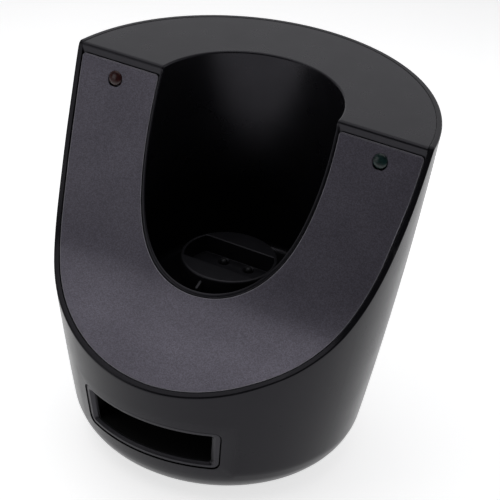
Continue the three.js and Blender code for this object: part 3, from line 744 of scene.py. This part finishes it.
class Column:
    """A cut through the insert, from the pocket outwards. Near the fold it keeps one y."""

    def __init__(self, side, inner_angle, on_deck, y=None):
        self.side, self.on_deck, self.y = side, on_deck, y
        self.inner = inner_angle
        fold_in = angle_at(FOLD_Y, POCKET_B, POCKET_Y)
        fold_out = angle_at(FOLD_Y, drum_radius(FOLD_WALL_Z) * OVAL, drum_centre(FOLD_WALL_Z))
        if on_deck:
            share = (math.pi - inner_angle) / (math.pi - fold_in)
            self.outer = math.pi - share * (math.pi - fold_out)
        else:
            self.outer = inner_angle / fold_in * fold_out

    def top(self, y, sunk=0.0):
        """Height of the deck or of the face at y."""
        if self.on_deck:
            into = min(max(y - FOLD_Y, 0), DECK_EDGE)
            drop = DECK_EDGE - math.sqrt(DECK_EDGE**2 - (DECK_EDGE - into) ** 2)
            return DECK_Z - DECK_SUNK - drop
        return face(y, sunk)

    def near(self, out):
        """A point a given distance outside the pocket."""
        if self.y is not None:
            x = level_x(POCKET_A + out, POCKET_B + out, POCKET_Y, self.y)
            return self.side * x, self.y
        x, y = ellipse(POCKET_A + out, POCKET_B + out, POCKET_Y, self.inner)
        return self.side * x, y

    def far(self, inset, sunk):
        """The point where the column meets the drum's wall, less an inset."""
        z = DECK_Z
        for _ in range(MEET_STEPS):
            r = drum_radius(z, inset)
            if self.y is not None:
                x, y = level_x(r, r * OVAL, drum_centre(z), self.y), self.y
            else:
                x, y = ellipse(r, r * OVAL, drum_centre(z), self.outer)
            z = self.top(y, sunk)
        return self.side * x, y, z

    def carried_down(self, point, depth):
        """A point on the insert's side moved down along the drum's wall."""
        x, y, z = point
        ratio = drum_radius(z - depth) / drum_radius(z)
        if self.y is None:
            y = drum_centre(z - depth) + (y - drum_centre(z)) * ratio
        return x * ratio, y, z - depth


def fold_stations(first, last, growth):
    """Distances from the fold that widen from a first step to a last one."""
    steps, here, step = [], 0.0, first
    while here < last:
        steps.append(here)
        here += step
        step *= growth
    return steps + [last]


def insert_columns():
    deck_y = [FOLD_Y + d for d in (0, 0.04, 0.13, 0.3, 0.55, DECK_EDGE, 1.3)]
    face_y = [FOLD_Y - FOLD_STEP - d for d in fold_stations(0.25, 4.5, 1.12)]
    start = angle_at(face_y[-1], POCKET_B, POCKET_Y)
    half = [Column(1, a, False) for a in spread(0, start, INSERT_STEPS)[:-1]]
    half += [Column(1, angle_at(y, POCKET_B, POCKET_Y), False, y) for y in reversed(face_y)]
    half += [Column(1, angle_at(y, POCKET_B, POCKET_Y), True, y) for y in deck_y]
    half += [Column(1, a, True) for a in spread(half[-1].inner, math.pi, INSERT_STEPS)[1:]]
    other = [Column(-1, c.inner, c.on_deck, c.y) for c in half[1:-1]]
    return half + other[::-1]


def insert_section(column):
    """One section of the insert, from the pocket floor up, across the deck or seat and down."""
    edge = POCKET_EDGE if column.on_deck else RIM_EDGE
    points = []
    for share in (0.5, 0.8):
        x, y = ellipse(POCKET_A * share, POCKET_B * share, POCKET_Y, column.inner)
        points.append((column.side * x, y, POCKET_FLOOR_Z))
    for i in range(5):
        t = math.pi / 2 * i / 4
        x, y = column.near(FLOOR_ROUND * (math.sin(t) - 1))
        points.append((x, y, POCKET_FLOOR_Z + FLOOR_ROUND * (1 - math.cos(t))))
    x, y = column.near(0)
    wall_top = column.top(y) - edge
    points += [(x, y, z) for z in spread(points[-1][2], wall_top, 9)[1:-1]]
    for inward, down in fillet(edge, 4):
        x, y = column.near(inward)
        points.append((x, y, column.top(y) - down))
    for inward, down in fillet(RIM_GAP_EDGE, 3)[::-1]:
        x, y = column.near(POCKET_WALL - inward)
        points.append((x, y, column.top(y) - (0 if column.on_deck else down)))
    x, y = column.near(POCKET_WALL + SEAM)
    sunk = 0 if column.on_deck else SEAT_SUNK
    start = (x, y, column.top(y, sunk))
    inset = WALL + (DECK_GAP if column.on_deck else INSERT_GAP)
    round_off = DECK_ROUND_OFF if column.on_deck else SEAT_ROUND_OFF
    end = column.far(inset + round_off, sunk)
    for t in spread(0, 1, 6):
        x, y, _ = between(start, end, t)
        points.append((x, y, column.top(y, sunk)))
    for inward, down in fillet(round_off, 3)[::-1][1:]:
        x, y, z = column.far(inset + inward, sunk)
        points.append((x, y, z - down))
    depth = SKIRT if column.on_deck else FACE_SKIRT
    points.append(column.carried_down(column.far(inset, sunk), depth))
    inner = column.far(inset + SKIRT_WALL, sunk)
    points.append(column.carried_down(inner, depth))
    points.append((inner[0], inner[1], inner[2] - PLATE))
    x, y = column.near(POCKET_WALL)
    points.append((x, y, column.top(y, sunk) - PLATE))
    points.append((x, y, POCKET_FLOOR_Z - POCKET_FLOOR))
    return points


def cradle_insert():
    skin = Skin()
    grid = [skin.add(insert_section(c)) for c in insert_columns()]
    for r in range(len(grid[0]) - 1):
        for a, b in zip(grid, grid[1:] + grid[:1]):
            skin.faces.append((a[r], b[r], b[r + 1], a[r + 1]))
    skin.faces.append([column[0] for column in grid])
    skin.faces.append([column[-1] for column in grid])
    return skin


# ---------------------------------------------------------------- face panel
PANEL_END_Y = FOLD_Y - 0.4
PANEL_ROWS = 22
PANEL_STEPS = 96
LED_CELLS = 7
LED_CELLS_END = 7.3
LED_HALF_ROWS = 3


def panel_slope():
    return face(PANEL_END_Y) - face(PANEL_END_Y - 1)


def end_distance(y):
    """Distance along the face from the panel's end."""
    return (PANEL_END_Y - y) * math.hypot(1, panel_slope())


def panel_stations():
    """Distances of the panel's columns from the end of an arm."""
    near = [0, 0.03, 0.07, PANEL_EDGE, 0.3, 0.6, 0.85, PANEL_CORNER]
    hole = spread(PANEL_CORNER, LED_CELLS_END, LED_CELLS)[1:]
    more = [8.5, 10, 12, 14.5]
    return near + hole + more


def panel_columns():
    """Each column is (side, angle or None, y)."""
    distances = panel_stations()
    ys = [PANEL_END_Y - d / math.hypot(1, panel_slope()) for d in distances]
    margin = POCKET_WALL + PANEL_GAP
    start = angle_at(ys[-1], POCKET_B + margin, POCKET_Y)
    right = [(1, None, y) for y in ys]
    middle = [(1 if a >= 0 else -1, abs(a), None) for a in spread(start, -start, PANEL_STEPS)[1:-1]]
    left = [(-1, None, y) for y in reversed(ys)]
    return right + middle + left


def panel_column_ends(column, sunk):
    """Plan positions of the pocket side and the drum side of the panel on one column."""
    side, angle, level = column
    margin = POCKET_WALL + PANEL_GAP
    inset = WALL + INSERT_GAP + 0.05
    a, b = POCKET_A + margin, POCKET_B + margin
    fold_in = angle_at(PANEL_END_Y, b, POCKET_Y)
    wall_b = drum_radius(FOLD_WALL_Z) * OVAL
    fold_out = angle_at(PANEL_END_Y, wall_b, drum_centre(FOLD_WALL_Z))
    if level is None:
        near = ellipse(a, b, POCKET_Y, angle)
    else:
        near = (level_x(a, b, POCKET_Y, level), level)
    z = DECK_Z
    for _ in range(MEET_STEPS):
        r = drum_radius(z, inset)
        if level is None:
            far = ellipse(r, r * OVAL, drum_centre(z), angle / fold_in * fold_out)
        else:
            far = (level_x(r, r * OVAL, drum_centre(z), level), level)
        z = face(far[1], sunk)
    return (side * near[0], near[1]), (side * far[0], far[1])


def panel_row_shares(width):
    """Shares across the panel, with rows for the rounded edges on both sides."""
    near = [0, 0.03, 0.07, PANEL_EDGE, 0.35, 0.7]
    edge = [d / width for d in near]
    return edge + spread(edge[-1], 1 - edge[-1], PANEL_ROWS)[1:-1] + [1 - e for e in reversed(edge)]


def edge_drop(distance):
    if distance >= PANEL_EDGE:
        return 0.0
    return PANEL_EDGE - math.sqrt(PANEL_EDGE**2 - (PANEL_EDGE - distance) ** 2)


def panel_points(column):
    """Top points of one column, with the panel's edges and corners rounded."""
    near, far = panel_column_ends(column, PANEL_SUNK)
    width = math.dist(near, far)
    away = math.inf if column[2] is None else end_distance(column[2])
    left = max(PANEL_CORNER - away, 0)
    pull = PANEL_CORNER - math.sqrt(PANEL_CORNER**2 - left**2)
    points = []
    for share in panel_row_shares(width):
        inside = min(share, 1 - share) * width
        x, y = between(near, far, (pull + share * (width - 2 * pull)) / width)
        z = face(y, PANEL_SUNK) - edge_drop(min(inside, away))
        points.append((x, y, z))
    return points


def led_frame(side):
    """Centre, in-plane directions and normal of an indicator on the panel."""
    y0, y1 = LED_Y - 0.5, LED_Y + 0.5
    along = Vector((0, y1 - y0, face(y1) - face(y0))).normalized()
    across = Vector((1, 0, 0))
    centre = Vector((side * LED_X, LED_Y, face(LED_Y)))
    return centre, across, along, across.cross(along)


def face_panel():
    skin = Skin()
    columns = panel_columns()
    tops = [panel_points(c) for c in columns]
    grid, under = [], []
    for points in tops:
        grid.append(skin.add(points))
        under.append(skin.add([(x, y, face(y, PANEL_SUNK + PANEL)) for x, y, _ in points]))
    rows = len(grid[0])
    hole_start = panel_stations().index(PANEL_CORNER)
    hole_columns = [
        (hole_start, hole_start + LED_CELLS),
        (len(grid) - 1 - hole_start - LED_CELLS, len(grid) - 1 - hole_start),
    ]
    middle = tops[hole_start + LED_CELLS // 2]
    centred = min(range(rows), key=lambda r: abs(middle[r][0] - LED_X))
    hole_rows = (centred - LED_HALF_ROWS, centred + LED_HALF_ROWS)

    def open_cell(c, r):
        inside = hole_rows[0] <= r < hole_rows[1]
        return inside and any(c0 <= c < c1 for c0, c1 in hole_columns)

    for c in range(len(grid) - 1):
        for r in range(rows - 1):
            if open_cell(c, r):
                continue
            for layer in (grid, under):
                a, b = layer[c], layer[c + 1]
                skin.faces.append((a[r], b[r], b[r + 1], a[r + 1]))
    skin.bridge([g[0] for g in grid], [u[0] for u in under], False)
    skin.bridge([g[-1] for g in grid], [u[-1] for u in under], False)
    for c in (0, -1):
        skin.bridge(grid[c], under[c], False)
    for (c0, c1), side in zip(hole_columns, (1, -1)):
        centre, across, along, _ = led_frame(side)
        cells = ring_cells((c0, c1), hole_rows)
        outer = [grid[c][r] for c, r in cells]
        lower = [under[c][r] for c, r in cells]
        turns = []
        for index in outer:
            gap = Vector(skin.points[index]) - centre
            turns.append(math.atan2(gap.dot(along), gap.dot(across)))

        def ring(radius, sunk):
            made = []
            for t in turns:
                p = centre + across * radius * math.cos(t) + along * radius * math.sin(t)
                made.append((p.x, p.y, face(p.y, sunk)))
            return made

        outline = LED_HOLE_R + LED_HOLE_EDGE
        edge = [ring(outline - i, PANEL_SUNK + d) for i, d in fillet(LED_HOLE_EDGE, 3)[::-1]]
        end = skin.loops(outer, [*edge, ring(LED_HOLE_R, PANEL_SUNK + PANEL)])
        skin.bridge(end, lower)
    return skin


TRIM = 0.16
TRIM_DEPTH = 0.6


def panel_outline():
    """Plan points round the panel's edge."""
    tops = [panel_points(c) for c in panel_columns()]
    near = [points[0] for points in tops]
    far = [points[-1] for points in tops]
    line = near[:-1] + tops[-1][:-1] + far[:0:-1] + tops[0][:0:-1]
    return [(x, y) for x, y, _ in line]


def panel_trim():
    """A hair-wide strip all the way round the panel's edge, pale to paint a highlight on that edge.
    """
    skin = Skin()
    line = panel_outline()
    count = len(line)

    def ring(out, sunk):
        made = []
        for i, (x, y) in enumerate(line):
            (xa, ya), (xb, yb) = line[i - 1], line[(i + 1) % count]
            length = math.hypot(xb - xa, yb - ya)
            px, py = x + (yb - ya) / length * out, y - (xb - xa) / length * out
            made.append((px, py, face(py, sunk)))
        return made

    section = [(-TRIM, 0.0), (0.0, 0.0), (0.0, TRIM_DEPTH), (-TRIM, TRIM_DEPTH)]
    skin.hoop([ring(out, PANEL_SUNK + down) for out, down in section])
    return skin


# ---------------------------------------------------------------- indicators
def led_lens(side):
    centre, across, along, normal = led_frame(side)

    def place(p):
        return tuple(centre + across * p[0] + along * p[1] + normal * p[2])

    flange_top = LED_FOOT + LED_FLANGE
    profile = [(ON_AXIS, LED_FOOT), (LED_FLANGE_R, LED_FOOT)]
    profile += [(LED_FLANGE_R, flange_top), (LENS_R, flange_top)]
    for t in spread(0, math.pi / 2, 10):
        high = LENS_SHOULDER + (LED_PROUD - LENS_SHOULDER) * math.sin(t)
        profile.append((max(LENS_R * math.cos(t), ON_AXIS), high))
    skin = Skin()
    skin.lathe(profile, 40, place)
    return skin


# ---------------------------------------------------------------- contact carrier and contacts
def channel_reach(angle, inset):
    """Plan point of the channel's edge in a given direction from the carrier's centre."""
    dx, dy = math.sin(angle), -math.cos(angle)
    a, b = PUCK_A - CHANNEL_RIM - inset, PUCK_A * OVAL - CHANNEL_RIM - inset
    reach = 1 / math.hypot(dx / a, dy / b)
    front, back = CHANNEL_FRONT_Y + inset - PUCK_Y, CHANNEL_BACK_Y - inset - PUCK_Y
    if dy < 0:
        reach = min(reach, front / dy)
    if dy > 0:
        reach = min(reach, back / dy)
    return dx * reach, PUCK_Y + dy * reach


def carrier_angles():
    """Column directions, with some set exactly on the channel's corners."""
    corners = []
    a, b = PUCK_A - CHANNEL_RIM, PUCK_A * OVAL - CHANNEL_RIM
    for y in (CHANNEL_FRONT_Y, CHANNEL_BACK_Y):
        x = level_x(a, b, PUCK_Y, y)
        corners.append(math.atan2(x, PUCK_Y - y))
    marks = [0, *corners, math.pi]
    half = [0.0]
    for start, end in zip(marks, marks[1:]):
        half += spread(start, end, 20)[1:]
    return half + [-a for a in reversed(half[1:-1])]


def fill(skin, loops):
    """A flat face with holes, between closed loops of known points."""
    work = bmesh.new()
    made = {}
    for loop in loops:
        for i in loop:
            made[i] = work.verts.new(skin.points[i])
    back = {v: i for i, v in made.items()}
    edges = []
    for loop in loops:
        for i, j in zip(loop, loop[1:] + loop[:1]):
            edges.append(work.edges.new((made[i], made[j])))
    bmesh.ops.triangle_fill(work, use_beauty=True, edges=edges)
    skin.faces += [tuple(back[v] for v in f.verts) for f in work.faces]
    work.free()


def contact_carrier():
    skin = Skin()
    angles = carrier_angles()
    bottom = POCKET_FLOOR_Z + 0.1

    def ring(a, z):
        return [(*ellipse(a, a * OVAL, PUCK_Y, t), z) for t in angles]

    foot = skin.add(ring(PUCK_A, bottom))
    wall = [ring(PUCK_A, z) for z in spread(bottom, PUCK_TOP_Z - PUCK_EDGE, 4)[1:-1]]
    edge = [ring(PUCK_A - i, PUCK_TOP_Z - d) for i, d in fillet(PUCK_EDGE, 5)]
    outer = skin.loops(foot, wall + edge)

    def channel(inset, z):
        return [(*channel_reach(t, inset), z) for t in angles]

    lip = [channel(-i, PUCK_TOP_Z - d) for i, d in fillet(CHANNEL_EDGE, 4)[::-1]]
    heights = spread(PUCK_TOP_Z - CHANNEL_EDGE, CHANNEL_Z + CHANNEL_HEEL, 3)[1:]
    down = [channel(0, z) for z in heights]
    heel = [channel(i, CHANNEL_Z + d) for i, d in fillet(CHANNEL_HEEL, 3)[1:]]
    floor_edge = skin.loops(outer, lip + down + heel)
    turns = [2 * math.pi * i / 32 for i in range(32)]
    holes = []
    for side in (-1, 1):
        rings = []
        for r, depth in DIMPLE:
            across = [side * CONTACT_X + r * math.cos(t) for t in turns]
            along = [CONTACT_Y + r * math.sin(t) for t in turns]
            rings.append([(x, y, CHANNEL_Z - depth) for x, y in zip(across, along)])
        first = skin.add(rings[0])
        skin.faces.append(skin.loops(first, rings[1:]))
        holes.append(first)
    fill(skin, [floor_edge, *holes])
    skin.faces.append(foot)
    return skin


def key_rib():
    """A slim upright rib on the carrier's front, its top sloping down to the front."""
    skin = Skin()
    start = PUCK_Y - PUCK_A * OVAL + KEY_ROOT
    low, high = POCKET_FLOOR_Z + 0.1, PUCK_TOP_Z - KEY_BELOW_TOP
    middle, reach = start - KEY_REACH / 2, KEY_REACH / 2
    marks = ring_marks(3, 2, 6)

    def ring(inset, drop):
        corner = KEY_CORNER - inset * 0.6
        made = []
        for mark in marks:
            x, y = rounded(*mark, KEY_HALF_WIDTH - inset, reach - inset, corner)
            slope = (reach - y) * KEY_SLOPE
            made.append((KEY_X + x, middle + y, high - drop - slope))
        return made

    foot = [(x, y, low) for x, y, _ in ring(0, 0)]
    skin.capped([foot] + [ring(i, d) for i, d in fillet(KEY_EDGE, 3)])
    return skin


def contact_tip(side):
    def place(p):
        return p[0] + side * CONTACT_X, p[1] + CONTACT_Y, p[2]

    profile = [(ON_AXIS, COLLAR_Z), (COLLAR_R, COLLAR_Z), (COLLAR_R, COLLAR_Z + COLLAR)]
    profile.append((CONTACT_R, COLLAR_Z + COLLAR))
    dome_z = CONTACT_TIP_Z - CONTACT_R
    for t in spread(0, math.pi / 2, 8):
        profile.append((max(CONTACT_R * math.cos(t), ON_AXIS), dome_z + CONTACT_R * math.sin(t)))
    skin = Skin()
    skin.lathe(profile, 32, place)
    return skin


def spring_coil(side):
    """Wire wound between the barrel's floor and the contact's collar."""
    skin = Skin()
    steps, sides = SPRING_TURNS * 24, 10
    low, high = SPRING_LOW_Z + SPRING_WIRE, SPRING_HIGH_Z - SPRING_WIRE
    rings = []
    for i in range(steps + 1):
        turn = 2 * math.pi * SPRING_TURNS * i / steps
        middle = low + (high - low) * i / steps
        ring = []
        for k in range(sides):
            around = 2 * math.pi * k / sides
            r = SPRING_R + SPRING_WIRE * math.cos(around)
            x, y = side * CONTACT_X + r * math.cos(turn), CONTACT_Y + r * math.sin(turn)
            ring.append((x, y, middle + SPRING_WIRE * math.sin(around)))
        rings.append(ring)
    skin.capped(rings)
    return skin


# ---------------------------------------------------------------- front slot bezel
def ring_marks(corner_steps, long_steps, short_steps):
    """Marks round a square ring: plain sides with finer steps in the corners."""
    long_side = spread(-1, 1, long_steps)
    short_side = spread(-1, 1, short_steps)
    corner = spread(1, 2, corner_steps)[1:]

    def side(plain):
        return [-c for c in reversed(corner)] + plain + corner

    low = [(p, -2) for p in side(long_side)]
    right = [(2, q) for q in side(short_side)]
    high = [(-p, 2) for p, _ in low]
    left = [(-2, -q) for _, q in right]
    return low[:-1] + right[:-1] + high[:-1] + left[:-1]


def slot_bezel():
    skin = Skin()
    marks = ring_marks(5, 34, 6)

    def ring(t, depth):
        """t runs from the outer outline (0) to the slot (1)."""
        out = 1 - t
        a = (SLOT_ANGLE + BEZEL_SIDE_ANGLE * out) * FRONT_MM_PER_DEGREE - BEZEL_GAP * out
        b = SLOT_HALF_HEIGHT + BEZEL_BAND * out - BEZEL_GAP * out
        corner = (BEZEL_CORNER - BEZEL_GAP) * out + SLOT_CORNER * t
        made = []
        for m in marks:
            x, z = rounded(*m, a, b, corner)
            angle = math.radians(x / FRONT_MM_PER_DEGREE)
            made.append(drum(angle, SLOT_MID_Z + z, BEZEL_SUNK + depth))
        return made

    skin.hoop([ring(t, d) for t, d in BEZEL_SECTION])
    return skin


# ---------------------------------------------------------------- pieces
def build_pieces():
    table = [
        ("drum_shell", outer_shell(), "shell_black", ["outer_shell"]),
        ("deck_and_pocket", cradle_insert(), "deck_grey", ["cradle_insert"]),
        ("sloping_panel", face_panel(), "face_charcoal", ["face_panel"]),
        ("panel_edge_highlight", panel_trim(), "face_charcoal", []),
        ("carrier_block", contact_carrier(), "carrier_black", ["contact_carrier"]),
        ("carrier_key_rib", key_rib(), "carrier_black", []),
        ("slot_frame", slot_bezel(), "bezel_black", ["slot_bezel"]),
        ("lens_cap_red", led_lens(-1), "lens_red", ["led_red"]),
        ("lens_cap_green", led_lens(1), "lens_green", ["led_green"]),
    ]
    for name, skin, slot, replaced in table:
        # The panel's edge strip takes the pale finish of the painted highlight.
        finish = PAINTED_EDGE_HIGHLIGHT if name == "panel_edge_highlight" else FINISHES[slot]
        build_piece(name, skin, "housing", slot, finish, replaced)
    nickel, steel = "contact_nickel", "spring_steel"
    for side, name in ((-1, "left"), (1, "right")):
        body, pin, spring = "contact_" + name, ["contact_pin_" + name], ["contact_spring_" + name]
        build_piece("contact_tip_" + name, contact_tip(side), body, nickel, FINISHES[nickel], pin)
        coil = spring_coil(side)
        coil = build_piece("spring_coil_" + name, coil, "housing", steel, FINISHES[steel], spring)
        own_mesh(coil)


def finish_cad_nodes():
    slots = {s["node"]: s["material_slot"] for s in frame["record"]["subparts"]}
    for name, node in frame["nodes"].items():
        if node.hide_render:
            continue
        node.material_slots[0].material = FINISHES[slots[name]]
        soft = node.modifiers.new("soft_edges", "BEVEL")
        soft.width = NODE_EDGE * MM
        soft.segments = 2
        soft.limit_method = "ANGLE"
        soft.angle_limit = NODE_EDGE_ANGLE
        soft.harden_normals = True


# ---------------------------------------------------------------- studio
CAMERA_AIM = (5.1, 2.8 + AXIS_Y, 60.2)
CAMERA_DISTANCE = 615.9
CAMERA_AZIMUTH = 29.08
CAMERA_ELEVATION = 32.64
CAMERA_ROLL = 2.27
CAMERA_LENS = 148.33
FLOOR_HALF = 4.0
FLOOR_WHITE = (0.8, 0.8, 0.8)
FLOOR_GLOW = 0.7
FAR_GLOW = 0.05
GLOW_FADE = (0.2, 0.6)
WALL_DARK = (0.035, 0.035, 0.038)
WALL_BRIGHT = (0.88, 0.88, 0.9)


def camera():
    azimuth, elevation, roll = map(math.radians, (CAMERA_AZIMUTH, CAMERA_ELEVATION, CAMERA_ROLL))
    flat = math.cos(elevation)
    forward = Vector((-math.sin(azimuth) * flat, math.cos(azimuth) * flat, -math.sin(elevation)))
    right = Vector((math.cos(azimuth), math.sin(azimuth), 0))
    up = right.cross(forward)
    turned = right * math.cos(roll) + up * math.sin(roll)
    data = bpy.data.cameras.new("camera")
    data.lens = CAMERA_LENS
    data.sensor_width = 36
    data.clip_start = 0.01
    data.clip_end = 50
    eye = bpy.data.objects.new("camera", data)
    axes = Matrix((turned, turned.cross(forward), -forward)).transposed().to_4x4()
    place = (Vector(CAMERA_AIM) - forward * CAMERA_DISTANCE) * MM
    eye.matrix_world = Matrix.Translation(place) @ axes
    bpy.context.scene.collection.objects.link(eye)
    bpy.context.scene.camera = eye


def soft_light(name, place, aim, size, power):
    data = bpy.data.lights.new(name, "AREA")
    data.shape = "RECTANGLE"
    data.size, data.size_y = size
    data.energy = power
    light = bpy.data.objects.new(name, data)
    light.location = place
    light.rotation_euler = (Vector(aim) - Vector(place)).to_track_quat("-Z", "Y").to_euler()
    bpy.context.scene.collection.objects.link(light)


def floor():
    """A plain white sweep, lit a little from within so that it stays even."""
    grid = bmesh.new()
    bmesh.ops.create_grid(grid, x_segments=8, y_segments=8, size=FLOOR_HALF)
    mesh = bpy.data.meshes.new("studio_floor")
    grid.to_mesh(mesh)
    grid.free()
    lighter = (0.84, 0.84, 0.84)
    finish = surface("studio_floor", FLOOR_WHITE, lighter, (0.75, 0.85), (500, 0.01), mottle=3)
    shader = finish.node_tree.nodes["Principled BSDF"]
    shader.inputs["Emission Color"].default_value = (1, 1, 1, 1)
    tree = finish.node_tree
    where = tree.nodes.new("ShaderNodeTexCoord")
    away = tree.nodes.new("ShaderNodeVectorMath")
    away.operation = "LENGTH"
    tree.links.new(where.outputs["Object"], away.inputs[0])
    glow = remap(tree, away.outputs["Value"], FLOOR_GLOW, FAR_GLOW, *GLOW_FADE)
    tree.links.new(glow, shader.inputs["Emission Strength"])
    mesh.materials.append(finish)
    plane = bpy.data.objects.new("studio_floor", mesh)
    bpy.context.scene.collection.objects.link(plane)


def world():
    """Soft studio light: bright walls behind and beside, dim above, dark in front."""
    studio = bpy.data.worlds.new("studio")
    bpy.context.scene.world = studio
    studio.use_nodes = True
    tree = studio.node_tree
    background = tree.nodes["Background"]
    where = tree.nodes.new("ShaderNodeTexCoord")
    split = tree.nodes.new("ShaderNodeSeparateXYZ")
    tree.links.new(where.outputs["Generated"], split.inputs["Vector"])
    backward = remap(tree, split.outputs["Y"], 0.0, 1.0, -0.5, 0.6)
    low = remap(tree, split.outputs["Z"], 1.0, 0.0, 0.45, 0.9)
    share = tree.nodes.new("ShaderNodeMath")
    share.operation = "MULTIPLY"
    tree.links.new(backward, share.inputs[0])
    tree.links.new(low, share.inputs[1])
    colour = blend_colours(tree, share.outputs[0], WALL_DARK, WALL_BRIGHT)
    tree.links.new(colour, background.inputs["Color"])


camera()
floor()
world()
soft_light("overhead", (-0.25, 0.0, 1.3), (0, 0, 0), (1.5, 1.4), 6.2)
soft_light("left", (-0.24, -0.27, 0.19), (-0.04, 0, 0.08), (0.16, 0.16), 0.075)
bpy.context.scene.view_settings.view_transform = "Standard"

build_pieces()
finish_cad_nodes()
